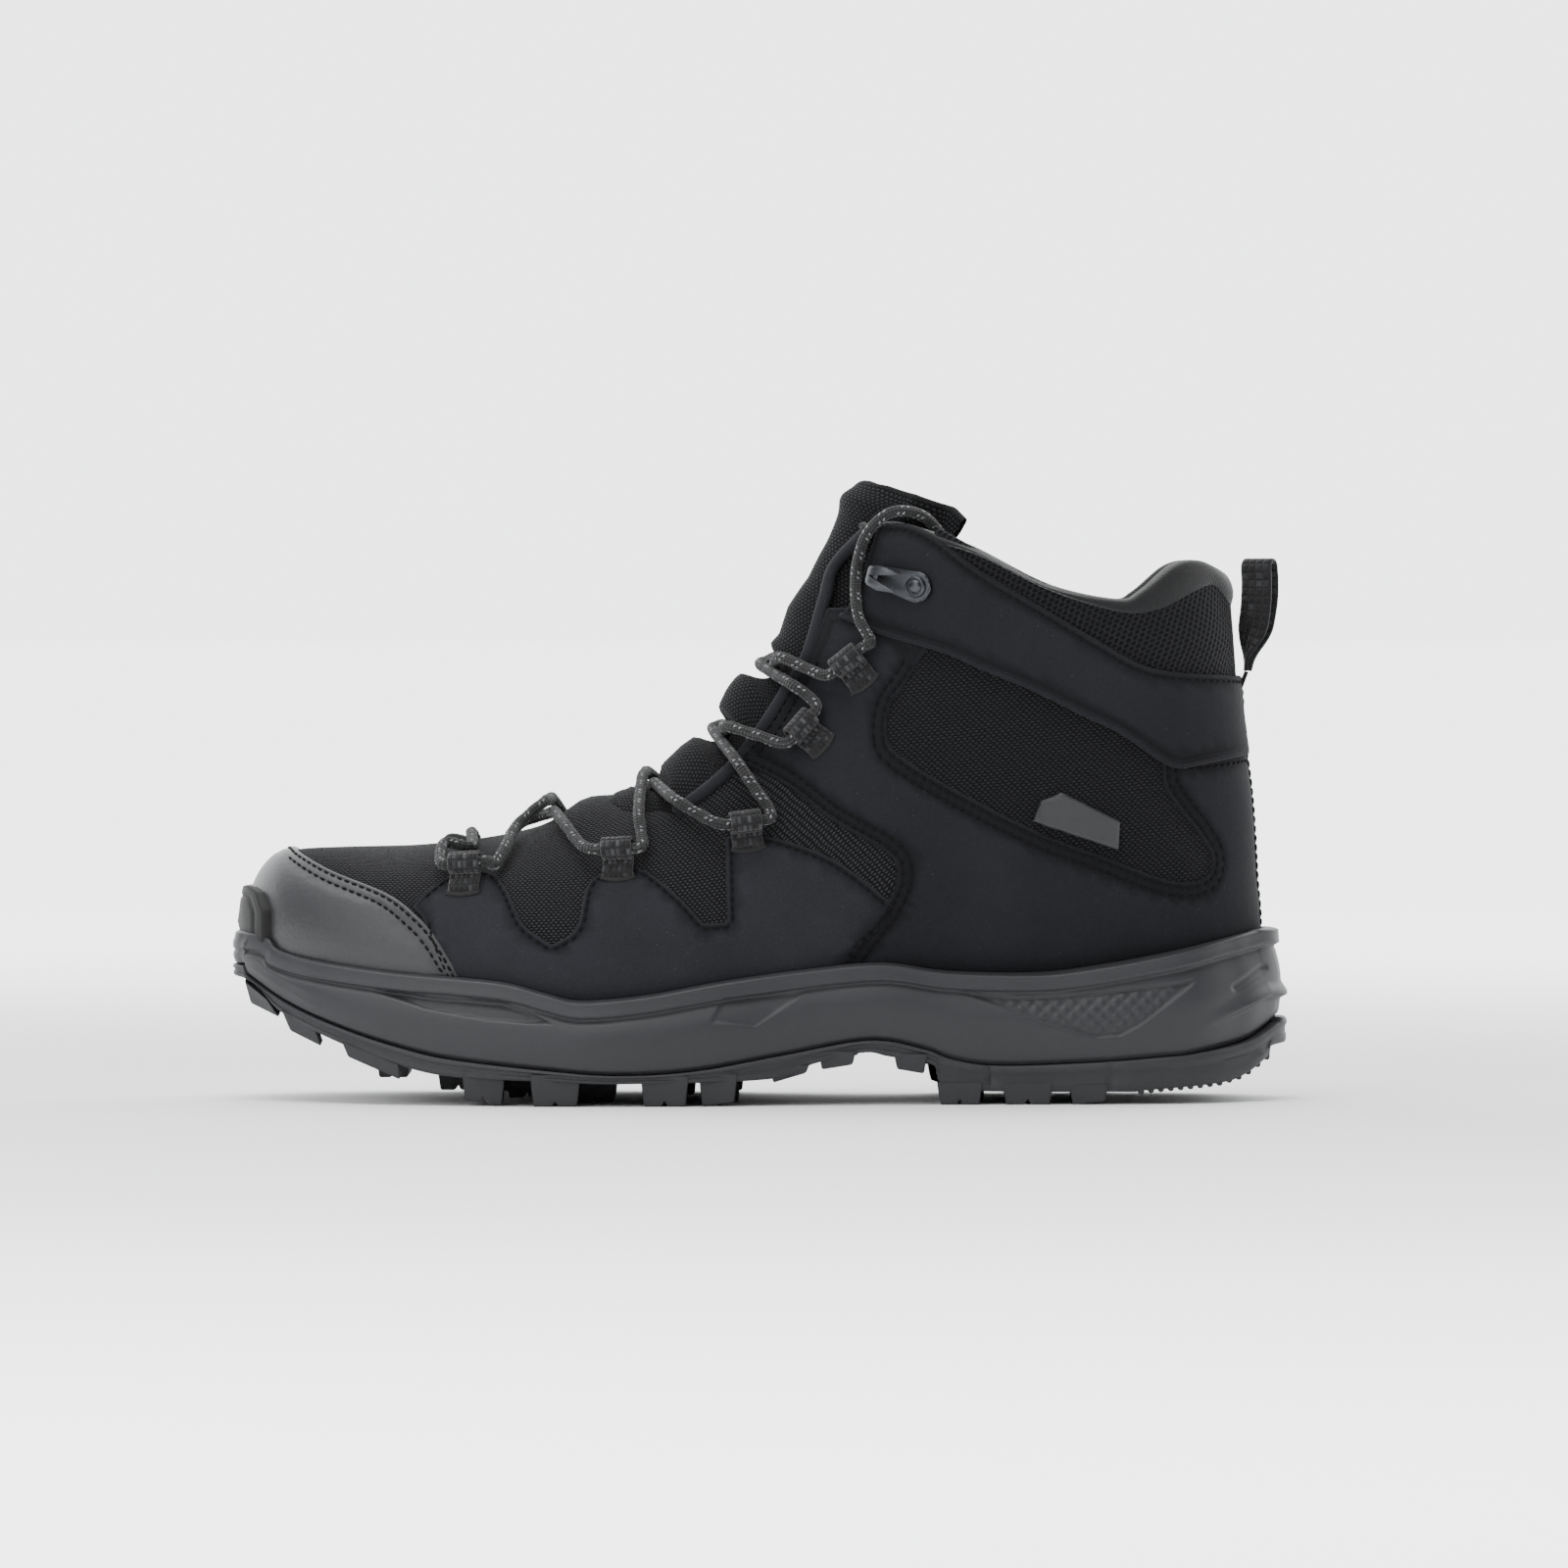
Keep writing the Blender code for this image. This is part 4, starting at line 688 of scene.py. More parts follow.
def lace_look(name, colour, fleck):
    """Braided cord: crossed strands, with a pair of pale flecks at each repeat."""
    look = Look(name, colour, 0.85, sheen_weight=0.15, specular_ior_level=0.3)
    along, around = look.cloth()
    a = look.math("MULTIPLY", look.math("ADD", along, around), math.pi / BRAID_PITCH)
    b = look.math("MULTIPLY", look.math("SUBTRACT", along, around), math.pi / BRAID_PITCH)
    over = look.math("MULTIPLY", look.math("SINE", a), look.math("SINE", b))
    height = look.ramp(over, -0.9, 0.9)
    fibres = look.noise(0.3, 2.0)
    height = look.math("ADD", height, look.math("MULTIPLY", fibres, 0.25))
    lean = look.math("ADD", along, look.math("MULTIPLY", around, 0.55))
    repeat = look.math("PINGPONG", look.math("FRACT", look.math("DIVIDE", lean, 6.2)), 0.5)
    stripe = look.ramp(look.math("ABSOLUTE", look.math("SUBTRACT", repeat, 0.13)), 0.035, 0.06,
                       1.0, 0.0)
    turn = look.math("PINGPONG", look.math("FRACT", look.math("DIVIDE", around, 4.0)), 0.5)
    band = look.ramp(look.math("ABSOLUTE", look.math("SUBTRACT", turn, 0.2)), 0.07, 0.11, 1.0, 0.0)
    pale = look.math("MULTIPLY", look.math("MULTIPLY", stripe, band), look.ramp(fibres, 0.3, 0.5))
    # Painted shade and light: the hollows between strands are painted darker, the strand tops
    # lighter
    body = look.blend(look.ramp(height, 0.2, 1.0), shade(colour, 0.45), shade(colour, 1.35))
    look.set("Base Color", look.blend(look.math("MULTIPLY", pale, 0.6), body, fleck))
    look.bump(height, 0.3)
    return look.material


def moulded_look(name, colour, roughness, pits=0.35):
    """Moulded rubber or foam: a dull skin with fine pits and faint cloudy wear."""
    look = grained_look(name, colour, roughness, pits, 0.035, 0.14, specular_ior_level=0.42)
    look.bump(look.noise(14.0, 2.0), 0.12)
    return look.material


def metal_look(name, colour, roughness):
    look = grained_look(name, colour, roughness, 0.6, 0.02, 0.2, metallic=1.0)
    return look.material


# --------------------------------------------------------------------- camera and studio
FRAME_WIDTH = 0.4569
CAMERA_DISTANCE = 3.2
CAMERA_RISE = math.radians(1.0)
LOOK_AT = Vector((0.0074, 0.0, 0.0917))


def make_camera():
    data = bpy.data.cameras.new("camera")
    data.sensor_width = 36.0
    data.lens = data.sensor_width * CAMERA_DISTANCE / FRAME_WIDTH
    data.clip_start, data.clip_end = 0.05, 60.0
    camera = bpy.data.objects.new("camera", data)
    back = Vector((0.0, -math.cos(CAMERA_RISE), math.sin(CAMERA_RISE)))
    camera.location = LOOK_AT + back * CAMERA_DISTANCE
    camera.rotation_mode = "QUATERNION"
    camera.rotation_quaternion = (-back).to_track_quat("-Z", "Y")
    bpy.context.scene.collection.objects.link(camera)
    bpy.context.scene.camera = camera


def area_light(name, place, aim, size, power):
    data = bpy.data.lights.new(name, "AREA")
    data.shape, data.size, data.size_y = "RECTANGLE", size[0], size[1]
    data.energy = power
    light = bpy.data.objects.new(name, data)
    light.location = place
    light.rotation_mode = "QUATERNION"
    light.rotation_quaternion = (Vector(aim) - Vector(place)).to_track_quat("-Z", "Y")
    bpy.context.scene.collection.objects.link(light)


def sweep_look():
    """White studio sweep: it glows away from the boot, like a lit backdrop behind it."""
    look = Look("studio_white", (0.93, 0.93, 0.93), 0.9)
    away = look.node("VectorMath", {0: look.place()}, 1, operation="LENGTH")
    glow = look.node("MapRange", {0: away, 1: 260.0, 2: 1500.0, 3: 0.0, 4: 2.4},
                     interpolation_type="SMOOTHSTEP")
    look.set("Emission Color", (0.98, 0.99, 1.0, 1.0))
    look.set("Emission Strength", glow)
    return look.material


def make_studio():
    """A white sweep under soft overhead and front light."""
    world = bpy.data.worlds.new("studio")
    world.use_nodes = True
    nodes, links = world.node_tree.nodes, world.node_tree.links
    direction = nodes.new("ShaderNodeTexCoord")
    parts = nodes.new("ShaderNodeSeparateXYZ")
    links.new(direction.outputs["Generated"], parts.inputs[0])
    behind = nodes.new("ShaderNodeMapRange")
    behind.interpolation_type = "SMOOTHSTEP"
    for socket, value in zip((1, 2, 3, 4), (-0.1, 0.75, 0.4, 3.6)):
        behind.inputs[socket].default_value = value
    links.new(parts.outputs[1], behind.inputs[0])
    links.new(behind.outputs[0], nodes["Background"].inputs["Strength"])
    nodes["Background"].inputs["Color"].default_value = (0.98, 0.99, 1.0, 1.0)
    bpy.context.scene.world = world
    floor = bpy.data.meshes.new("floor")
    reach = 30.0
    floor.from_pydata([(-reach, -reach, 0), (reach, -reach, 0), (reach, reach, 0),
                       (-reach, reach, 0)], [], [(0, 1, 2, 3)])
    floor.materials.append(sweep_look())
    piece = bpy.data.objects.new("floor", floor)
    bpy.context.scene.collection.objects.link(piece)
    area_light("overhead_light", (-0.25, -0.25, 1.5), (0, 0, 0.1), (1.1, 1.1), 22.0)
    area_light("front_light", (-0.9, -1.5, 0.9), (0, 0, 0.08), (1.0, 1.0), 12.5)
    area_light("rim_light", (0.9, 0.9, 0.9), (0, 0, 0.1), (0.8, 0.8), 4.0)


# ------------------------------------------------------------------------ upper, outlines
THROAT = [(-24, 84.5), (-9.5, 96), (0.5, 108), (7.5, 119), (13.5, 129), (18.5, 146),
          (21.5, 156), (31.0, 165.7)]
TOE_EDGE = [(-136.5, 74.0), (-124, 67.5), (-107, 61), (-98, 54.5), (-92.5, 48.5), (-87, 39.5),
            (-83.5, 31.0)]
MUDGUARD = [(-97.2, 53.6), (-99.5, 58), (-89.5, 66), (-78, 67.5), (-72.5, 62.5), (-67.5, 52.5),
            (-59.5, 46.5), (-59.5, 46.5), (-52.5, 51.5), (-48.5, 65), (-35.5, 69),
            (-24, 61.5), (-15.5, 52.5), (-15.5, 52.5), (-9, 53), (-9, 53), (-9.5, 77.5),
            (-9.5, 77.5), (3, 77.5), (21.5, 71), (37.5, 59), (40, 55), (29, 44),
            (23, 32), (22, 27), (-10, 26.5), (-32, 23.5), (-51, 22),
            (-72, 26.5), (-86, 28.5), (-91, 37), (-95, 46)]
QUARTER_FRONT = [(-8.5, 100), (7.5, 92), (21.5, 81.5), (36, 73), (39.8, 67.5), (37.5, 59),
                 (28, 46), (21.5, 37.5), (19, 29)]
QUARTER_FOOT = [(50, 29), (81, 29.5), (100, 31.5), (122, 36)]
ANKLE_PANEL = [(44, 133), (64, 129), (93, 117), (118, 103), (123, 92), (133, 79), (137, 68),
               (131, 60), (118, 59.5), (78, 74.5), (51, 88), (34, 99), (32, 106), (33, 117)]
STRAP_LOW = [(24, 141), (36, 136), (53, 131), (64.5, 126), (79, 120), (93, 113), (104.5, 107.5),
             (119, 98), (128, 98.5), (142.4, 101)]
STRAP_TOP = [(34.6, 167.2), (42, 167.6), (50.5, 164), (64.5, 153.5), (81.5, 143.5), (99, 133),
             (110, 127), (121.5, 124.5), (140.2, 123.5)]
STRAP_FRONT = [(24, 141), (28.8, 149), (34.6, 167.2)]
MESH_TOP = [(50, 167), (62.5, 160), (84, 149.5), (104.5, 143), (116, 143.5), (127.5, 149.5),
            (133, 151), (138.4, 145)]
COLLAR = [(31.5, 166), (37.5, 168.5), (50.5, 164.5), (62.5, 160), (84, 149.5), (104.5, 145.5),
          (111.5, 148), (121.5, 155.5), (128.5, 157), (135.5, 154), (138.6, 150.5)]
LABEL = [(81.5, 87.5), (81.5, 87.5), (87.5, 90), (87.5, 90), (104.5, 81.5), (104.5, 81.5),
         (104, 73), (104, 73), (79, 81.5), (79, 81.5)]
BACK = math.pi - 0.004
UNDER, MESH_TOP_HEIGHT, OVER = -1.9, -1.15, 0.1


def traced(points, closed=False, per_span=8):
    """Side-view line as (station, angle) on the last, smooth between its points."""
    line = catmull(points, per_span, closed)
    u, angle = place_on_last(line[:, 0], line[:, 1])
    return np.stack([u, np.minimum(angle, BACK)], axis=1)


def sided(line, side):
    return line * (1.0, side)


def over_ridge(line):
    """Closed outline over the front ridge, from the half that runs ridge to ridge."""
    return np.vstack([sided(line, -1), sided(line, 1)[::-1]])


def make_vamp():
    """The forefoot mesh, from under the toe cap to the throat and the quarters."""
    start = np.array([(2.45, 0.0)])
    front = traced([(-140, 69), (-128, 63), (-111, 57), (-102, 51), (-97, 45), (-92, 38)])
    foot = traced([(-90, 36), (-60, 34), (-20, 36), (20, 38)])
    rear = traced([(26, 41), (38, 50), (46, 60), (46.5, 70), (40, 78.5), (25, 87.5), (10, 97.5),
                   (-1.5, 106.2)])
    throat = traced([(-2.5, 104.4), (-9.5, 96), (-24, 84.5)])
    seam = traced([(-24, 84.5), (-29.4, 85.5), (-36.5, 85), (-42.0, 86)])
    end = np.array([(8.0, 0.0)])
    outline = over_ridge(np.vstack([start, front, foot, rear, throat[:-1], seam, end]))

    def puffs(u, angle, points, distance):
        """Slack knit: it swells in each opening and where it covers the tongue's foot."""
        beside = smoothstep(0.12, 0.62, np.abs(angle))
        swell = 4.1 * np.exp(-((u - 7.45) / 0.42) ** 2) * (1 - beside)
        return swell + 0.35 * np.sin(points[:, 0] * 0.16) * np.sin(angle * 5.0)

    panel("vamp_mesh", outline, UNDER - 0.6, MESH_TOP_HEIGHT, LOOKS["vamp_knit"], 2.4,
          weave="across", relief=puffs, replaces=("vamp_mesh",), slot="knit_mesh")


def make_toe_cap():
    edge = traced(TOE_EDGE)
    foot = traced([(-83, 28.5), (-98, 30), (-114, 32), (-130, 34.5), (-140, 38)])
    tip = np.array([(1.0, 2.6), (0.5, 2.9), (0.12, 3.1)])
    start = np.array([(2.98, 0.0)])
    outline = over_ridge(np.vstack([start, edge[2:], foot, tip]))
    panel("toe_cap", outline, UNDER, OVER + 0.15, LOOKS["toe_leather"], 2.6, grooves=(1.9, 4.5),
          replaces=("toe_cap",), slot="smooth_leather")
    clean = even_outline(outline, EDGE_STEP)
    add_stitches(clean, 1.9, 0.0)
    add_stitches(clean, 4.5, 0.0)


def quarter_outline():
    front = traced(QUARTER_FRONT)
    foot = traced(QUARTER_FOOT)
    heel = np.array([(14.2, 2.6), (14.45, BACK), (15.0, BACK), (16.0, BACK), (17.0, BACK),
                     (17.62, BACK)])
    strap = traced([(141, 103), (128, 101), (119, 101.5)])
    window = traced([(116.6, 98.6), (118, 90), (127.5, 77.5), (131.5, 70.5), (129, 65),
                     (119, 64.5), (100, 71.5), (79, 79.5), (53, 93), (40, 101.5), (37.5, 106.5),
                     (38.5, 115), (43, 121.5), (50, 133)])
    top = traced([(38, 138.5), (26, 143.5)])
    throat = traced([(19.6, 143.5), (13.5, 129), (7.5, 119), (0.5, 108), (-8.5, 97.4)])
    return np.vstack([front, foot, heel, strap, window, top, throat])


def make_overlays():
    for name, side in SIDES:
        mudguard = even_outline(sided(traced(MUDGUARD, True), side), EDGE_STEP)
        panel("mudguard_" + name, mudguard, UNDER, OVER - 0.1, LOOKS["mudguard_nubuck"], 2.4,
              grooves=(1.7,), replaces=("mudguard_" + name,), slot="nubuck")
        add_stitches(mudguard, 1.7, -0.12, lambda p: p[:, 0] > -96)
        quarter = even_outline(sided(quarter_outline(), side), EDGE_STEP)
        panel("quarter_" + name, quarter, UNDER, OVER, LOOKS["nubuck"], 2.6,
              grooves=(1.8, 4.4), replaces=("quarter_" + name,), slot="nubuck")
        for inset in (1.8, 4.4):
            add_stitches(quarter, inset, 0.0, lambda p: p[:, 2] < 128)
        panel("ankle_mesh_" + name, sided(traced(ANKLE_PANEL, True), side), UNDER - 0.6, -1.0,
              LOOKS["ankle_knit"], 2.4, relief=ankle_swell, replaces=("ankle_mesh_" + name,),
              slot="knit_mesh")
        low, top, front = traced(STRAP_LOW), traced(STRAP_TOP), traced(STRAP_FRONT)
        heel = np.array([(17.8, BACK), (18.3, BACK), (18.55, BACK)])
        strap = np.vstack([front[::-1], low[1:], heel, top[::-1][:-1]])
        strap = even_outline(sided(strap, side), EDGE_STEP)
        panel("ankle_strap_" + name, strap, OVER - 1.7, OVER + 0.9, LOOKS["strap_nubuck"], 2.6,
              grooves=(2.0,), round_edge=1.3, replaces=("ankle_strap_" + name,), slot="nubuck")
        add_stitches(strap, 2.0, 0.75, above_strap_middle)


def above_strap_middle(points):
    """The strap's upper edge is stitched; its lower edge is piped and turned under."""
    xs = [p[0] for p in STRAP_TOP]
    middle = np.interp(points[:, 0], xs, [p[1] for p in STRAP_TOP]) - 9.0
    return (points[:, 2] > middle) & (points[:, 0] > 37)


def ankle_swell(u, angle, points, distance):
    """Padding behind the ankle mesh."""
    inside_window = smoothstep(4.0, 16.0, distance)
    return 1.1 * inside_window


def sweep(name, centres, normals, radius_side, radius_up, material, sides=10, **extra):
    """Rounded strip along a line on the skin; the radii may change along it."""
    centres, normals = np.asarray(centres), np.asarray(normals)
    tangent = unit(np.gradient(centres, axis=0))
    across = unit(np.cross(tangent, normals))
    turns = np.arange(sides) * 2 * math.pi / sides
    side = np.broadcast_to(radius_side, (len(centres),))[:, None, None]
    up = np.broadcast_to(radius_up, (len(centres),))[:, None, None]
    rings = (centres[:, None] + across[:, None] * np.cos(turns)[None, :, None] * side
             + normals[:, None] * np.sin(turns)[None, :, None] * up)
    length = run_along(centres)
    girth = turns * float(np.max(radius_side))
    cloth = np.stack([np.repeat(length, sides), np.tile(girth, len(centres))], axis=1)
    return tube_mesh(name, rings, material, cloth=cloth, **extra)


def strip_on_skin(name, line, side, height, radius_side, radius_up, material, **extra):
    """A bead laid along a side-view line."""
    path = even_open(sided(traced(line), side), 1.0)
    normals = skin_normal(path[:, 0], path[:, 1])
    centres = skin(path[:, 0], path[:, 1]) + normals * height
    return sweep(name, centres, normals, radius_side, radius_up, material, **extra)


def even_open(line, spacing):
    points = skin(line[:, 0], line[:, 1])
    lengths = run_along(points)
    wanted = np.linspace(0.0, lengths[-1], max(3, int(lengths[-1] / spacing)))
    return np.stack([np.interp(wanted, lengths, line[:, k]) for k in range(2)], axis=1)


def make_piping():
    """Rolled edges: along the throat and under the ankle strap."""
    for name, side in SIDES:
        strip_on_skin("eyestay_" + name, THROAT, side, -1.0, 2.2, 1.4, LOOKS["nubuck"],
                      replaces=("eyestay_" + name,), slot="nubuck")
        strip_on_skin("strap_piping_" + name, STRAP_LOW[:-1] + [(141.8, 101.2)], side, 0.35,
                      0.8, 0.75, LOOKS["nubuck"])


def make_collar_mesh():
    for name, side in SIDES:
        low = traced([(50, 158), (64.5, 149.5), (81.5, 139.5), (99, 129), (110, 123),
                      (121.5, 120.5), (138, 119.5)])
        heel = np.array([(18.4, BACK), (19.0, BACK), (19.55, BACK)])
        top = traced(MESH_TOP)[::-1]
        outline = np.vstack([low, heel, top])
        panel("collar_mesh_" + name, sided(outline, side), UNDER - 0.6, -0.9,
              LOOKS["collar_mesh"], 2.2, weave="round", relief=collar_swell,
              slot="spacer_mesh", **({"replaces": ("collar_mesh",)} if side < 0 else {}))


def collar_swell(u, angle, points, distance):
    return 1.3 * smoothstep(3.0, 14.0, distance)


def make_label():
    outline = even_outline(sided(traced(LABEL, True, 3), -1), 0.7)
    panel("side_label", outline, -0.4, 1.05, LOOKS["label"], 1.2, round_edge=0.35,
          replaces=("side_label",), slot="printed_tag")


# ----------------------------------------------------------------------------------- sole
SOLE_LINE = [(-152.2, 39.5), (-150.2, 37.7), (-135.4, 28.3), (-116.8, 20.8), (-98.2, 15.4),
             (-85.4, 13.1), (-61, 10.5), (-40.6, 9.1), (-18.3, 10.3), (6.6, 14.6), (31.7, 18.8),
             (47.4, 16.3), (56.5, 13.1), (69.7, 11.4), (97.4, 12.3), (115.9, 13.7), (125.9, 14.6),
             (141.9, 17.7), (151.4, 23.1), (153, 24.2)]
TREAD_BASE = [(-152, 36), (-138, 26), (-120.5, 17.5), (-101.8, 11), (-86.6, 8.2), (-62, 7.2),
              (-38.5, 6.5), (3.4, 7.7), (16, 12.0), (30.3, 15.1), (37.4, 14.0), (50.8, 11.2),
              (53.5, 4.5), (104, 3.6), (111.7, 4.0), (133.1, 5.8), (140.5, 7.8),
              (147.4, 12.6), (153, 16.5)]
# Plan outline of the sole: x, lateral half width, medial half width.
PLAN = [(-152.2, 4.0, 16.0), (-149.5, 11.0, 22.0), (-145, 17.5, 27.0), (-137.5, 25.0, 33.0),
        (-122.5, 36.5, 41.0), (-92.5, 48.5, 48.3), (-62.5, 55.0, 50.5), (-42.5, 56.5, 49.0),
        (-12.5, 53.5, 43.0), (17.5, 47.0, 37.5), (47.5, 42.5, 35.0), (77.5, 40.8, 36.5),
        (107.5, 39.8, 38.5), (127.5, 35.5, 35.0), (140.5, 25.5, 25.5), (147.5, 17.0, 17.0),
        (152.5, 7.0, 7.0)]
FOREFOOT_LENS = [(-113, 33), (-104, 32.6), (-95.5, 31.4), (-74, 30), (-66, 27.4), (-58.5, 23.6),
                 (-66, 23.6), (-78, 24.5), (-95.5, 27.5)]
HEEL_TRIANGLE = [(57.5, 32.5), (76, 31), (99, 32.5), (128, 36), (110, 22.5), (104.5, 19.5),
                 (97.5, 19), (81.5, 23.5)]
ARCH_FACET = [(-9.5, 31.5), (14.5, 32.8), (-1, 22.5), (-14, 24)]
HEEL_RIDGE = [(126.5, 20.3), (148.2, 30.0)]       # lower edge of the wedge at the heel
HEEL_RIM = [(108.8, 7.7), (129.7, 10.0), (148.2, 14.6)]    # ridge above the fine heel teeth
# Side-view lines pressed into or raised from the wall: points, half width, depth.
WALL_LINES = [([(138.8, 33.1), (143.5, 35.9), (148.2, 38.6)], 0.8, -0.9),
              ([(-145.1, 39.4), (-136.1, 34.1), (-127.1, 28.8)], 1.0, 0.8)]
DIAMOND_PITCH = 4.2         # two diamonds, each 2.1 wide
WALL_SLITS = (66.5, 102.0)      # x of the thin cuts through the outsole's rim


def smooth_line(line, x):
    """Height of a side-view line at x, without its kinks."""
    fine = catmull([(-200.0, line[0][1])] + [tuple(p) for p in line] + [(200.0, line[-1][1])],
                   10, False)
    return np.interp(x, fine[:, 0], fine[:, 1])


def plan_outline(spacing):
    """Closed outline seen from above: toe, lateral side, heel, medial side."""
    lateral = [(x, CENTRE_LINE - a) for x, a, _ in PLAN]
    medial = [(x, CENTRE_LINE + b) for x, _, b in PLAN]
    return resample(catmull(lateral + medial[::-1], 12, True), spacing, True)


def plan_middle(x):
    """Halfway across the sole at x."""
    return np.interp(x, [p[0] for p in PLAN], [CENTRE_LINE + (p[2] - p[1]) / 2 for p in PLAN])


def outward_of(outline):
    tangent = np.roll(outline, -1, axis=0) - np.roll(outline, 1, axis=0)
    normal = unit(np.stack([tangent[:, 1], -tangent[:, 0]], axis=1))
    centre = outline.mean(axis=0)
    if np.sum(normal * (outline - centre)) < 0:
        normal = -normal
    return normal


def line_distance(line, p):
    """Distance of each side-view point from a line of straight runs."""
    nearest = np.full(len(p), 1e9)
    for a, b in zip(line[:-1], line[1:]):
        d = b - a
        t = np.clip(np.sum((p - a) * d, axis=1) / np.dot(d, d), 0.0, 1.0)
        nearest = np.minimum(nearest, np.linalg.norm(p - a - t[:, None] * d, axis=1))
    return nearest


def polygon_depth(polygon, x, z):
    """How far each point lies inside a side-view polygon, negative outside."""
    p = np.stack([x, z], axis=1)
    corners = np.asarray(polygon, float)
    nearest = line_distance(np.vstack([corners, corners[:1]]), p)
    return np.where(inside(corners, p), nearest, -nearest)


def wall_relief(x, z):
    """Moulded shapes on the midsole's wall, as a height outwards."""
    height = np.zeros(len(x))
    for polygon, depth in ((FOREFOOT_LENS, -1.4), (HEEL_TRIANGLE, -1.1), (ARCH_FACET, -0.6)):
        height += depth * smoothstep(0.0, 0.7, polygon_depth(polygon, x, z))
    height += 0.9 * smoothstep(1.0, 6.0, polygon_depth(FOREFOOT_LENS, x, z))
    diamonds = (np.abs(np.sin((x + z) * math.pi / DIAMOND_PITCH))
                * np.abs(np.sin((x - z) * math.pi / DIAMOND_PITCH)))
    height += 0.55 * diamonds * smoothstep(1.0, 1.8, polygon_depth(HEEL_TRIANGLE, x, z))
    ridge = read_line(HEEL_RIDGE, x)
    rise = smoothstep(HEEL_RIDGE[0][0], HEEL_RIDGE[1][0], x)
    height += (2.0 * rise * smoothstep(ridge - 0.7, ridge + 0.7, z)
               * (1 - smoothstep(ridge + 1, ridge + 5, z)))
    for line, half, depth in WALL_LINES:
        away = line_distance(catmull(line, 6, False), np.stack([x, z], axis=1))
        height += depth * (1 - smoothstep(0.0, half * 1.8, away))
    return height


def make_midsole():
    """Wall of the midsole, from the outsole up and over its flange on to the upper."""
    plan = plan_outline(0.6)
    outward = outward_of(plan)
    x = plan[:, 0]
    bottom, top = smooth_line(SOLE_LINE, x), smooth_line(FEATHER, x) + 0.3
    xt = -149.0 + (x + 152.2) * (295.0 / 304.7)
    u, angle = place_on_last(xt, smooth_line(FEATHER, xt) + 1.2)
    side = np.where(plan[:, 1] < plan_middle(x), -1, 1)
    join = lifted(u, side * angle, 0.0)
    tall = top - bottom
    steps = np.linspace(0.0, 1.0, 50)
    rows = []
    for t in steps:
        z = bottom + tall * t
        from_top = tall * (1 - t)
        lean = 3.0 * smoothstep(0.45, 1.0, t) ** 1.3
        bulge = 0.9 * math.sin(math.pi * min(1.0, t * 1.35)) - 0.9 * (1 - smoothstep(0.0, 0.06, t))
        flange = (1.3 * (1 - smoothstep(3.6, 4.5, from_top))
                  - 0.4 * np.exp(-((from_top - 4.9) / 0.7) ** 2))
        ends = smoothstep(0, 8, 152 - np.abs(x))
        push = (bulge - lean * (0.35 + 0.65 * ends) + flange
                + wall_relief(x, z) * smoothstep(2.0, 4.2, from_top))
        push -= 1.7 * smoothstep(118.0, 140.0, x)
        push = np.minimum(push, np.where(x > 118.0, 1.2, 0.9))
        rows.append(np.column_stack([plan + outward * push[:, None], z]))
    edge = rows[-1]
    for share, rise in ((0.12, 0.35), (0.35, 0.6), (0.7, 0.75), (1.0, 0.5), (1.15, -1.5)):
        ring = edge + (join - edge) * share
        ring[:, 2] = edge[:, 2] + (join[:, 2] - edge[:, 2]) * max(0.0, share - 0.35) + rise
        rows.append(ring)
    verts = np.vstack(rows)
    new_mesh("midsole", verts, grid_faces(len(rows), len(plan), True), LOOKS["midsole"],
             replaces=("midsole",), slot="midsole_eva")


# Toe lugs, side view: upper front, upper back, lower back and lower front corners.
TOE_LUGS = [[(-149.4, 34.8), (-142.5, 29.7), (-138.8, 24.6), (-147.4, 28.3)],
            [(-138.2, 27.1), (-127.9, 21.4), (-126.2, 16.6), (-135.4, 20.8)],
            [(-120.2, 18.3), (-103.4, 11.7), (-103.1, 7.4), (-118.2, 13.7)]]
# Other lugs at the edge: front x, back x, bottom z at the front and at the back.
EDGE_LUGS = [(-85.1, -72.8, 2.0, 0.0), (-65.4, -51.1, 0.0, 0.0),
             (-33.7, -20.0, 0.0, 0.0), (-17.0, -6.0, 0.0, 1.2), (3.4, 14.6, 6.6, 9.4),
             (17.4, 28.0, 10.3, 11.7), (39.1, 48.6, 10.3, 9.0), (51.6, 64.5, 0.0, 0.0),
             (70.5, 84.8, 0.0, 0.0), (89.7, 100.8, 0.0, 0.9)]
HEEL_TEETH_FROM, HEEL_TEETH_TO, HEEL_TEETH_PITCH = 109.4, 149.0, 2.86
HEEL_TEETH_BASE = [(109.4, 2.6), (111.7, 3.1), (133.1, 4.9), (140.5, 6.9), (147.4, 11.7),
                   (150.0, 13.4)]
CENTRE_LUGS = [(-112.0, -100.0), (-94.0, -80.0), (-74.0, -60.0), (-54.0, -40.0), (-34.0, -20.0),
               (-14.0, -4.0), (56.0, 67.0), (74.0, 85.0), (91.0, 101.0)]


def half_widths(x):
    xs = [p[0] for p in PLAN]
    return (float(np.interp(x, xs, [p[1] for p in PLAN])) - CENTRE_LINE,
            float(np.interp(x, xs, [p[2] for p in PLAN])) + CENTRE_LINE)


def narrowest(x0, x1):
    """The sole's smaller half widths at either end of a lug."""
    return (min(pair) for pair in zip(half_widths(x0), half_widths(x1)))


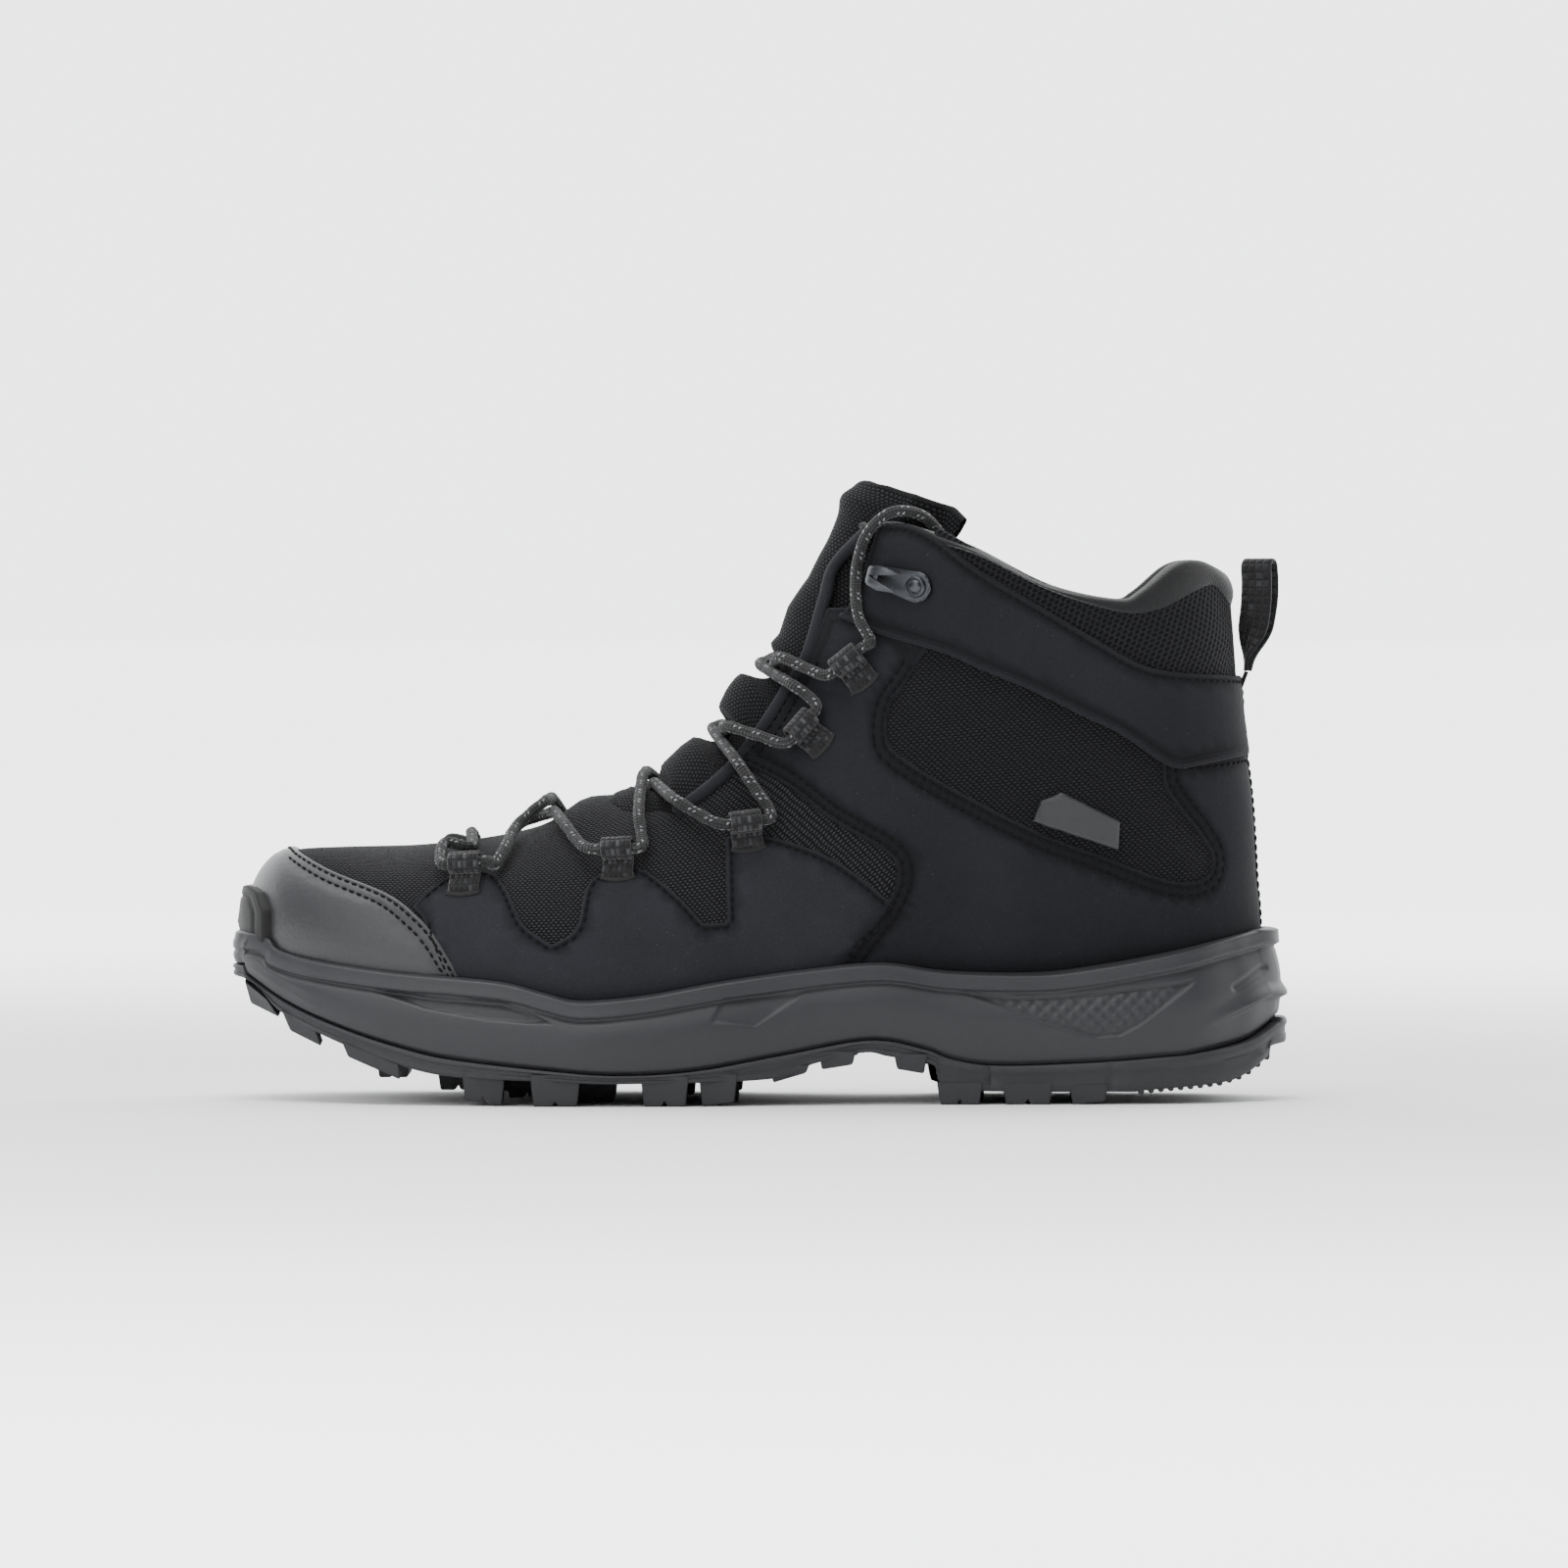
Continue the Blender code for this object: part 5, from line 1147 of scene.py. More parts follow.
def add_lug(bm, x0, x1, y0, y1, z0, z1, top, notch=0.0, draft=0.9):
    """A tapered lug with rounded edges; a notch cuts its ground face across the middle."""
    levels = [(draft, z0, z1), (draft * 0.45, (z0 + top) / 2, (z1 + top) / 2), (0.0, top, top)]
    columns = [0.0, 1.0] if not notch else [0.0, 0.42, 0.5, 0.58, 1.0]
    rings = []
    for inset, za, zb in levels:
        xa, xb, ya, yb = x0 + inset, x1 - inset, y0 + inset, y1 - inset
        near, far = [], []
        for c in columns:
            z = za + (zb - za) * c
            if notch and c == 0.5 and inset == draft:
                z += notch
            px = xa + (xb - xa) * c
            near.append(bm.verts.new((px, ya, z)))
            far.append(bm.verts.new((px, yb, z)))
        rings.append((near, far))
    n = len(columns)
    ground_near, ground_far = rings[0]
    for k in range(n - 1):
        bm.faces.new((ground_near[k], ground_far[k], ground_far[k + 1], ground_near[k + 1]))
    for (na, fa), (nb, fb) in zip(rings, rings[1:]):
        for k in range(n - 1):
            bm.faces.new((na[k], na[k + 1], nb[k + 1], nb[k]))
            bm.faces.new((fa[k + 1], fa[k], fb[k], fb[k + 1]))
        bm.faces.new((na[0], nb[0], fb[0], fa[0]))
        bm.faces.new((na[-1], fa[-1], fb[-1], nb[-1]))


def make_outsole():
    """Tread plate with its rim, lugs round the edge and down the middle, fine heel teeth."""
    plan = plan_outline(1.2)
    outward = outward_of(plan)
    x = plan[:, 0]
    top, base = smooth_line(SOLE_LINE, x) - 0.2, smooth_line(TREAD_BASE, x)
    slit_depth = sum(np.exp(-((x - slit) / 0.6) ** 2) for slit in WALL_SLITS)
    rows = []
    for t, push in ((1.0, -2.5), (1.0, 0.2), (0.95, 0.75), (0.84, 0.95), (0.74, 0.95),
                    (0.68, 0.55), (0.6, 0.45), (0.4, 0.45), (0.34, 0.75), (0.12, 0.7),
                    (0.03, 0.4), (0.0, -0.3), (0.0, -1.6)):
        z = base + (top - base) * t
        rim = np.exp(-((z - read_line(HEEL_RIM, x)) / 0.8) ** 2) * smoothstep(102.8, 109.4, x)
        out = push - slit_depth * (1.0 if 0.04 < t < 0.99 else 0.0) + 0.9 * rim
        rows.append(np.column_stack([plan + outward * out[:, None], z]))
    for share in (0.8, 0.6, 0.4, 0.2, 0.02):
        middle = plan.copy()
        middle[:, 1] = plan_middle(x)
        ring = middle + (plan - outward * 1.6 - middle) * share
        rows.append(np.column_stack([ring, base]))
    verts = np.vstack(rows)
    faces = grid_faces(len(rows), len(plan), True)
    bm = bmesh.new()
    for corners in TOE_LUGS:
        add_toe_lug(bm, corners, -1, 13.0)
        add_toe_lug(bm, corners, 1, 13.0)
    for x0, x1, z0, z1 in EDGE_LUGS:
        lateral, medial = narrowest(x0, x1)
        reach = min(16.0, 0.5 * (lateral + medial) - 9.0)
        notch = 1.6 if x1 - x0 > 11.5 else 0.0
        roof = lug_roof(x0, x1)
        add_lug(bm, x0, x1, -1.6 - lateral, 0.6 - lateral + reach, z0, z1, roof, notch)
        add_lug(bm, x0 + 2, x1 + 2, medial - 1.6 - reach, medial + 0.8, z0, z1,
                lug_roof(x0 + 2, x1 + 2), notch)
    for x0 in np.arange(HEEL_TEETH_FROM, HEEL_TEETH_TO, HEEL_TEETH_PITCH):
        x1 = x0 + HEEL_TEETH_PITCH * 0.72
        z = float(read_line(HEEL_TEETH_BASE, (x0 + x1) / 2))
        lateral, medial = narrowest(x0, x1)
        add_lug(bm, x0, x1, -1.3 - lateral, medial + 1.3, z, z, z + 4.0, draft=0.3)
    for x0, x1 in CENTRE_LUGS:
        lateral, medial = half_widths((x0 + x1) / 2)
        half = max(7.0, 0.5 * (lateral + medial) - 26.0)
        middle = 0.5 * (medial - lateral)
        z = 0.0 if -60 < x0 else 0.10 * (-60 - x0)
        z = max(z, float(smooth_line(TREAD_BASE, x0)) - 7.5)
        add_lug(bm, x0 + 1, x1 - 1, middle - half, middle + half, z, z, lug_roof(x0, x1), 1.6)
    bmesh.ops.bevel(bm, geom=list(bm.edges), offset=0.55, segments=2, affect="EDGES",
                    clamp_overlap=True)
    bm.verts.index_update()
    start = len(verts)
    lugs = np.array([v.co[:] for v in bm.verts])
    faces += [tuple(start + v.index for v in f.verts) for f in bm.faces]
    bm.free()
    new_mesh("outsole", np.vstack([verts, lugs]), faces, LOOKS["outsole"], replaces=("outsole",),
             slot="outsole_rubber", sharp=50)


def add_toe_lug(bm, corners, side, reach):
    """A block whose outer face follows the rim of the sole round the toe."""
    outer, inner = [], []
    for x, z in corners:
        edge = half_widths(x)[0 if side < 0 else 1]
        outer.append(bm.verts.new((x, side * (edge + 1.5), z)))
        inner.append(bm.verts.new((x, side * max(edge - reach, 1.0), z + 0.8)))
    bm.faces.new(outer if side < 0 else outer[::-1])
    bm.faces.new(inner[::-1] if side < 0 else inner)
    for k in range(4):
        n = (k + 1) % 4
        ring = (outer[k], inner[k], inner[n], outer[n])
        bm.faces.new(ring if side < 0 else ring[::-1])


def lug_roof(x0, x1):
    xs = np.array([x0, (x0 + x1) / 2, x1])
    lows, tops = read_line(TREAD_BASE, xs), read_line(SOLE_LINE, xs) - 0.3
    return float(min(lows[1] + 2.0, tops.min() - 0.4))


BUMPER_SIDES = 180


def make_toe_bumper():
    """Rubber cap over the tip of the toe, above the flange."""
    outline = [(-170, 40), (-170, 61.8), (-146, 61.8), (-143.2, 60.2), (-141.2, 55), (-141.2, 40)]
    us = np.concatenate([[0.02], np.linspace(0.08, 3.6, 110)])
    angles = np.linspace(-math.pi, math.pi, BUMPER_SIDES + 1)[:-1]
    u, angle = grid_of(us, angles)
    p = skin(u, angle)
    within = polygon_depth(outline, p[:, 0], p[:, 2])
    height = -2.5 + 5.3 * smoothstep(-0.9, 0.9, within)
    height -= 0.5 * np.exp(-((within - 3.2) / 0.5) ** 2)
    normal = unit(skin_normal(u, angle) * np.clip(u / 0.5, 0, 1)[:, None]
                  + np.array([-1.0, 0, 0]) * (1 - np.clip(u / 0.5, 0, 1))[:, None])
    faces = [f for f in grid_faces(len(us), BUMPER_SIDES, True) if max(within[list(f)]) > -3.0]
    faces.append(tuple(range(BUMPER_SIDES)))
    new_mesh("toe_bumper", p + normal * height[:, None], faces, LOOKS["bumper"],
             replaces=("toe_bumper",), slot="outsole_rubber")


# ---------------------------------------------------------------------------- lace, loops
GAP = 0.3
WEB_THICKNESS = 1.1
LOOP_WIDTH = 9.0
LOOP_STRAIGHT = 6.8
LOOP_STEPS = 30
SLIT_HALF = 5.0                    # half length of the slit that a loop is sewn into
AGLET_LENGTH, AGLET_DIAMETER = 16.0, 4.0
LOOPS = [((-84.0, 66.5), (0.05, -1.0)), ((-39.8, 71.5), (0.05, -1.0)),
         ((-4.0, 80.0), (0.12, -1.0)), ((12.8, 107.4), (0.75, -0.66)),
         ((26.6, 127.0), (0.62, -0.78))]
LOOP_TAIL = [5.6, 4.4, 3.6, 4.8, 4.8]
CROSSINGS = [5.75, 6.94, 8.4, 10.0, 12.35]
CROSSING_LIFTS = [1.4, 1.9, -2.4, -5.7, -5.7]
CROSSING_STEP, CROSSING_SPREAD, CROSSING_SAG = 0.06, 0.16, 0.4
LACE_VIA = {"before_1": [(-90.5, 72.5)], "after_1": [(-75.5, 66.8), (-72.5, 71.5), (-69.5, 77.0)],
            "before_2": [(-55.5, 78.5), (-50.5, 73.0)], "after_2": [(-33.2, 76.5), (-33.6, 82.5)],
            "before_3": [(-24.0, 86.5), (-16.5, 82.0)],
            "after_3": [(2.9, 84.5), (-0.5, 89.5), (-6.0, 98.0)],
            "before_4": [(-8.0, 107.5), (0.5, 105.0)], "after_4": [(15.5, 116.2), (10.0, 120.0)],
            "before_5": [(7.5, 127.5), (15.0, 124.6)]}
LACE_LIFT = 0.3 + GAP + LACE_DIAMETER / 2
LOOP_RADIUS = LACE_DIAMETER / 2 + 0.55 + WEB_THICKNESS / 2
LOOP_LIFT = LOOP_RADIUS + WEB_THICKNESS / 2 + 0.7
# The free end of the lace: x, z and height above the skin, from the top loop over the collar
# and down the inside wall to the heel of the footbed.
END_ROUTE = [(30.9, 134.5, 3.4), (30.2, 141.6, 3.2), (29.7, 148.8, 3.2), (31.7, 160.2, 3.4),
             (34.0, 164.5, 3.5), (37.5, 169.6, 2.0), (41.5, 171.3, -2.6), (45.0, 169.2, -8.6),
             (48.5, 162.2, -12.3), (53.0, 152.0, -11.6), (59.5, 140.0, -10.9),
             (63.0, 127.0, -10.9),
             (66.5, 114.0, -10.9), (70.5, 101.0, -10.9), (75.0, 88.0, -10.9), (80.5, 76.0, -11.2),
             (87.0, 65.0, -11.8), (95.0, 56.5, -12.6)]


def skin_frame(x, z, side, lean):
    """Origin on the skin, tape direction, outward normal and the lace's direction."""
    u, angle = place_on_last(x, z)
    normal = skin_normal(u, side * angle)[0]
    down = np.array([lean[0], 0.0, lean[1]])
    down = unit(down - normal * np.dot(down, normal))
    return skin(u, side * angle)[0], down, normal, np.cross(down, normal)


def over_tongue(u, lift, sideways=0.0):
    return lifted(u, sideways, lift)[0]


def through_loop(index, side):
    """Three points straight through a lace loop, from its front or lower end."""
    place, lean = LOOPS[index]
    origin, _, normal, axis = skin_frame(*place, side, lean)
    centre = origin + normal * LOOP_LIFT
    if axis[0] < 0:
        axis = -axis
    return [centre - axis * LOOP_STRAIGHT, centre, centre + axis * LOOP_STRAIGHT]


def crossing(index, own, upper):
    """A strand over the tongue, from its own side across, above or below the other one."""
    lower_lift = CROSSING_LIFTS[index]
    stack = LACE_DIAMETER + GAP
    middle = lower_lift + (stack if upper else 0.0)
    beside = middle + CROSSING_SAG
    u = CROSSINGS[index]
    steps = [(-CROSSING_STEP, CROSSING_SPREAD, beside), (0.0, 0.0, middle),
             (CROSSING_STEP, -CROSSING_SPREAD, beside)]
    return [over_tongue(u + step, lift, own * angle) for step, angle, lift in steps]


def lace_side(side, first_over):
    """Route of one strand, from the front bar up through its loops to the top loop."""
    points = []
    for index in range(5):
        own = side if index % 2 == 0 else -side
        points += [on_skin(x, z, own, LACE_LIFT + 0.4) for x, z in LACE_VIA[f"before_{index + 1}"]]
        points += through_loop(index, own)
        if index == 4:
            break
        points += [on_skin(x, z, own, LACE_LIFT + 0.6) for x, z in LACE_VIA[f"after_{index + 1}"]]
        points += crossing(index + 1, own, (index % 2 == 0) == first_over)
    return points


def braided_cord(name, route, material, sides=16, **extra):
    """Round braided cord along a route, its strands in low relief, closed at both ends."""
    line = resample(route, 0.55)
    tangent = unit(np.gradient(line, axis=0))
    length = run_along(line)
    out = np.array([0.0, 0.0, 1.0])
    frames = []
    for direction in tangent:
        out = unit(out - direction * np.dot(out, direction))
        frames.append(out)
    out = np.array(frames)
    across = np.cross(tangent, out)
    turns = np.arange(sides) * 2 * math.pi / sides
    girth = turns * LACE_DIAMETER / 2
    relief = 0.09 * (np.sin((length[:, None] + girth[None]) * math.pi / BRAID_PITCH)
                     * np.sin((length[:, None] - girth[None]) * math.pi / BRAID_PITCH))
    radius = LACE_DIAMETER / 2 - 0.04 + relief
    slack = 0.05 * np.sin(length * 0.9 + 1.0)
    rings = line[:, None] + radius[..., None] * (
        out[:, None] * np.cos(turns)[None, :, None]
        + across[:, None] * np.sin(turns)[None, :, None] * (1 + slack[:, None, None]))
    cloth = np.stack([np.repeat(length, sides), np.tile(girth, len(line))], axis=1)
    return tube_mesh(name, rings, material, cloth=cloth, **extra)


def make_lace():
    left, right = lace_side(-1, True), lace_side(1, False)
    bar = CROSSINGS[0]
    front = [over_tongue(bar, LACE_LIFT - 1.4, sideways) for sideways in (0.45, 0.0, -0.45)]
    route = catmull(right[::-1] + front + left, 12, False)
    braided_cord("lace", route, LOOKS["lace"], replaces=("lace",), slot="lace_cord")


def end_route(side):
    """The free end starts one gap after the threaded lace, above the top loop."""
    through = through_loop(4, side)
    direction = unit(through[-1] - through[0])
    first = through[-1] + direction * GAP
    route = [on_skin(x, z, side, lift) for x, z, lift in END_ROUTE]
    smooth = resample(catmull([first + direction * 2.0] + route, 16, False), 9.0)
    return catmull(np.vstack([[first], smooth]), 10, False)


def make_lace_ends():
    """Free lace ends, tucked inside the collar, each with its aglet."""
    for name, side in SIDES:
        route = end_route(side)
        end = braided_cord("lace_end_" + name, route, LOOKS["lace"],
                           replaces=("lace_end_" + name,), slot="lace_cord")
        heading = unit(route[-1] - route[-2])
        tip = np.array([route[-1] + heading * (GAP + AGLET_LENGTH * t)
                        for t in (0, 0.04, 0.5, 0.93, 1.0)])
        radii = np.array([1.85, 2.0, 2.0, 1.95, 1.4])[:, None] * AGLET_DIAMETER / 4.0
        normals = np.repeat([np.cross(heading, [0.0, 1.0, 0.0])], 5, axis=0)
        aglet = sweep("aglet_" + name, tip, unit(normals), radii.ravel(), radii.ravel(),
                      LOOKS["aglet"], 14, replaces=("aglet_" + name,), slot="aglet_plastic")


def tape(name, path, width_axes, width, thickness, material, **extra):
    """Woven tape with rounded edges along a path; width_axes may turn along it."""
    path, axes = np.asarray(path), np.asarray(width_axes, float)
    axes = np.broadcast_to(axes, path.shape)
    tangent = unit(np.gradient(path, axis=0))
    axes = unit(axes - tangent * np.sum(axes * tangent, axis=1, keepdims=True))
    out = np.cross(tangent, axes)
    half, rim = width / 2, thickness / 2
    section = [(s * half, t * rim) for s, t in
               ((-1, -0.5), (-0.93, -1), (-0.5, -1), (0, -1), (0.5, -1), (0.93, -1), (1, -0.5),
                (1, 0.5), (0.93, 1), (0.5, 1), (0, 1), (-0.5, 1), (-0.93, 1), (-1, 0.5))]
    rings = np.array([[p + a * s + o * t for s, t in section]
                      for p, a, o in zip(path, axes, out)])
    across = np.array([s for s, _ in section]) + half
    cloth = np.stack([np.tile(across, len(path)),
                      np.repeat(run_along(path), len(section))], axis=1)
    return tube_mesh(name, rings, material, cloth=cloth, **extra)


def make_loops():
    """Tape folded round the lace, its two layers sewn flat in a slit of the overlay."""
    for name, side in SIDES:
        for index, ((place, lean), tail) in enumerate(zip(LOOPS, LOOP_TAIL)):
            origin, down, normal, axis = skin_frame(*place, side, lean)
            centre = origin + normal * LOOP_LIFT
            path = [centre + LOOP_RADIUS * (down * math.cos(a) + normal * math.sin(a))
                    for a in np.radians(np.linspace(235, -65, LOOP_STEPS + 1))]
            for step in np.linspace(0.25, 1.0, 6) * tail:
                at = origin + down * (LOOP_RADIUS + step)
                u, angle = place_on_last(at[0], at[2])
                sewn = float(smoothstep(0.8, 1.0, step / tail))
                lift = 0.3 + WEB_THICKNESS / 2 + 0.45 - 1.2 * sewn
                path.append(lifted(u, side * angle, lift)[0])
            path = np.array(path)
            path -= axis * ((path - path[LOOP_STEPS]) @ axis)[:, None]
            path = resample(catmull(path, 3, False), 0.6)
            tape(f"lace_loop_{name}_{index + 1}", path, axis, LOOP_WIDTH, WEB_THICKNESS,
                 LOOKS["tape"], replaces=(f"lace_loop_{name}_{index + 1}",), slot="woven_tape")
            slit = origin + down * (LOOP_RADIUS + tail * 0.97)
            u, angle = place_on_last(slit[0], slit[2])
            across = np.linspace(-SLIT_HALF, SLIT_HALF, 14)
            sag = down[None] * (1.1 * (1 - (across / SLIT_HALF) ** 2))[:, None]
            ups = place_on_last(slit[0] + axis[0] * across + sag[:, 0],
                                slit[2] + axis[2] * across + sag[:, 2])
            normals = skin_normal(ups[0], side * ups[1])
            bar = skin(ups[0], side * ups[1]) + normals * 0.2
            sweep(f"loop_slit_{name}_{index + 1}", bar, normals, 0.9, 0.6, LOOKS["welt"], 8)


# -------------------------------------------------------------------- hooks and pull loop
HOOK_PLACE = (42.5, 150.2)
HOOK_LEAN = math.radians(-14)
RIVET_SIDES = 32


def hook_frame(side):
    u, angle = place_on_last(*HOOK_PLACE)
    normal = skin_normal(u, side * angle)[0]
    forward = np.array([-math.cos(HOOK_LEAN), 0.0, -math.sin(HOOK_LEAN)])
    forward = unit(forward - normal * np.dot(forward, normal))
    up = np.cross(normal, forward)
    base = skin(u, side * angle)[0] + normal * 1.3
    return base, np.stack([forward, up, normal])


def extruded_plate(bm, outline, low, high, rim):
    """Flat plate with a rounded rim, in the hook's own forward, up, outward directions."""
    bottom = [bm.verts.new((a, b, low)) for a, b in outline]
    top = [bm.verts.new((a, b, high)) for a, b in outline]
    bm.faces.new(bottom[::-1])
    lid = bm.faces.new(top)
    for k in range(len(outline)):
        n = (k + 1) % len(outline)
        bm.faces.new((bottom[k], bottom[n], top[n], top[k]))
    bmesh.ops.bevel(bm, geom=list(lid.edges), offset=rim, segments=3, affect="EDGES")


def make_hooks():
    """Speed hooks: a riveted plate whose nose curls back over, with a notched free edge."""
    for name, side in SIDES:
        base, axes = hook_frame(side)
        bm = bmesh.new()
        rear = [(-4.6 + 4.5 * math.cos(t), 4.5 * math.sin(t))
                for t in np.radians(np.linspace(75, 285, 22))]
        nose = [(4.6 + 4.0 * math.cos(t), 3.4 * math.sin(t))
                for t in np.radians(np.linspace(-78, 78, 16))]
        extruded_plate(bm, rear + nose, 0.0, 1.3, 0.45)
        bm.verts.index_update()
        verts = [v.co[:] for v in bm.verts]
        faces = [tuple(v.index for v in f.verts) for f in bm.faces]
        bm.free()
        line = catmull([(4.6, 0.6), (7.2, 0.9), (8.9, 2.4), (9.0, 4.3), (7.4, 5.9), (4.6, 6.4),
                        (2.0, 6.2), (-0.6, 5.6)], 8, False)
        run = run_along(line)
        columns = np.linspace(-1.0, 1.0, 15)
        rows = np.linspace(0.0, 1.0, 30)
        sheets = []
        for thick in (0.0, 1.15):
            for share in rows:
                for c in columns:
                    reach = run[-1] * (0.50 + 0.50 * min(1.0, abs(c) * 1.15))
                    s = share * reach
                    a, h = np.interp(s, run, line[:, 0]), np.interp(s, run, line[:, 1])
                    a2 = np.interp(s + 0.1, run, line[:, 0])
                    h2 = np.interp(s + 0.1, run, line[:, 1])
                    if s + 0.1 >= run[-1]:
                        a2, h2 = a - 0.1, h - 0.02
                    normal = unit(np.array([h2 - h, a - a2]))
                    half = float(np.interp(share, [0.0, 0.25, 0.45, 0.7, 1.0],
                                           [3.4, 2.9, 2.6, 3.6, 2.9]))
                    rounding = -0.28 * abs(c) ** 6 * (thick > 0)
                    sheets.append((a + normal[0] * (thick + rounding), c * half,
                                   h + normal[1] * (thick + rounding)))
        tall, wide = len(rows), len(columns)
        start, n = len(verts), tall * wide
        verts += sheets
        faces += [f[::-1] for f in grid_faces(tall, wide, False, start)]
        faces += grid_faces(tall, wide, False, start + n)
        border = ([(0, c) for c in range(wide)] + [(r, wide - 1) for r in range(1, tall)]
                  + [(tall - 1, c) for c in range(wide - 2, -1, -1)]
                  + [(r, 0) for r in range(tall - 2, 0, -1)])
        ids = [start + r * wide + c for r, c in border]
        faces += [(p, q, q + n, p + n) for p, q in zip(ids, ids[1:] + ids[:1])]
        placed = base + np.array(verts) @ axes
        new_mesh("lace_hook_" + name, placed, faces, LOOKS["gunmetal"], sharp=38,
                 replaces=("lace_hook_" + name,), slot="gunmetal")
        profile = [(3.1, 1.2), (3.1, 1.9), (2.9, 2.2), (2.5, 2.25), (2.25, 1.95), (2.0, 1.95),
                   (1.8, 2.35), (1.2, 2.6), (0.6, 2.68), (0.02, 2.7)]
        turns = np.linspace(0, 2 * math.pi, RIVET_SIDES + 1)[:-1]
        local = [(-4.6 + r * math.cos(t), r * math.sin(t), h) for r, h in profile for t in turns]
        cap = [tuple(range(len(local) - RIVET_SIDES, len(local)))]
        new_mesh("hook_rivet_" + name, base + np.array(local) @ axes,
                 grid_faces(len(profile), RIVET_SIDES, True) + cap, LOOKS["gunmetal"], sharp=50,
                 replaces=("hook_rivet_" + name,), slot="gunmetal")


PULL_HINGE = (142.6, 124.5)


def make_pull_loop():
    """Tape loop at the heel, its upper part turned so that one flat face looks sideways."""
    hx, hz = PULL_HINGE
    middle = catmull([(0.0, 0.15), (0.9, 6.0), (2.4, 13.0), (3.4, 20.0), (3.6, 26.0),
                      (3.4, 30.0)], 10, False)
    half = np.interp(middle[:, 1], [0, 5, 12, 22, 30], [0.45, 1.0, 1.9, 2.5, 2.4])
    turn = np.radians(64) * smoothstep(2.0, 15.0, middle[:, 1])
    apart = np.stack([np.cos(turn), np.sin(turn), np.zeros(len(turn))], axis=1)
    width = np.stack([np.sin(turn), -np.cos(turn), np.zeros(len(turn))], axis=1)
    centre = np.stack([hx + middle[:, 0], np.full(len(middle), CENTRE_LINE), hz + middle[:, 1]], 1)
    rise = centre + apart * half[:, None]
    fall = centre - apart * half[:, None]
    top, last_half = centre[-1], half[-1]
    arc = np.radians(np.linspace(0, 180, 13))[1:-1]
    over = [top + last_half * (apart[-1] * math.cos(a) + np.array([0, 0, math.sin(a)]))
            for a in arc]
    path = np.vstack([rise, over, fall[::-1]])
    axes = np.vstack([width, np.repeat(width[-1:], len(over), axis=0), width[::-1]])
    tape("pull_loop", path, axes, 9.4, WEB_THICKNESS, LOOKS["pull_tape"], body=PULL,
         replaces=("pull_loop",), slot="woven_tape")
    foot = catmull([(-3.9, -9.0), (-2.2, -5.0), (-1.0, -1.8), (-0.35, -0.05)], 5, False)
    line = np.stack([hx + foot[:, 0], np.full(len(foot), CENTRE_LINE), hz + foot[:, 1]], 1)
    tape("pull_loop_foot", line, (0, 1, 0), 9.2, 0.9, LOOKS["pull_tape"], slot="woven_tape")


# --------------------------------------------------------- tongue, collar, lining, footbed
TONGUE_THICKNESS = 4.5
# Station and height of the tongue's ridge between the laces.
RIDGE_LIFT = [(7.0, 3.4), (7.3, 3.6), (7.62, 2.9), (8.0, 0.8), (8.7, 0.8), (9.2, 1.4), (9.7, 0.6),
              (10.7, 0.6), (11.4, 0.8), (12.4, 0.0), (13.1, -0.6), (13.4, -1.2), (14.3, 0.3),
              (15.6, -0.3), (16.5, 0.6), (18.0, 1.2), (19.0, 1.6), (20.0, 1.2), (21.0, 0.5)]


def tongue_height(u, angle):
    """Outer face of the tongue before the lace presses on it."""
    t = np.abs(angle)
    centre = read_line(RIDGE_LIFT, u)
    margin = -5.0 - 2.5 * smoothstep(14.0, 17.5, u)
    height = centre + (margin - centre) * smoothstep(0.1, 0.66, t)
    return height - 9.0 * smoothstep(17.6, 18.4, u) * smoothstep(0.62, 0.85, t)


def pressed_by_lace(base, normal, height):
    """Height of the padding where the lace bears on it, easing back up on either side."""
    line = np.vstack([resample(catmull(lace_side(side, side < 0), 8, False), 1.6)
                      for side in (-1, 1)])
    limit = np.full(len(height), 1e3)
    for point in line:
        away = point - base
        lift = np.sum(away * normal, axis=1)
        beside = np.sum(away * away, axis=1) - lift ** 2
        near = (np.abs(lift) < 12) & (beside < 90)
        valley = lift - LACE_DIAMETER / 2 - 0.15 + 0.17 * beside
        limit = np.where(near, np.minimum(limit, valley), limit)
    soft = 0.45
    return -soft * np.logaddexp(-height / soft, -np.minimum(limit, 60) / soft)


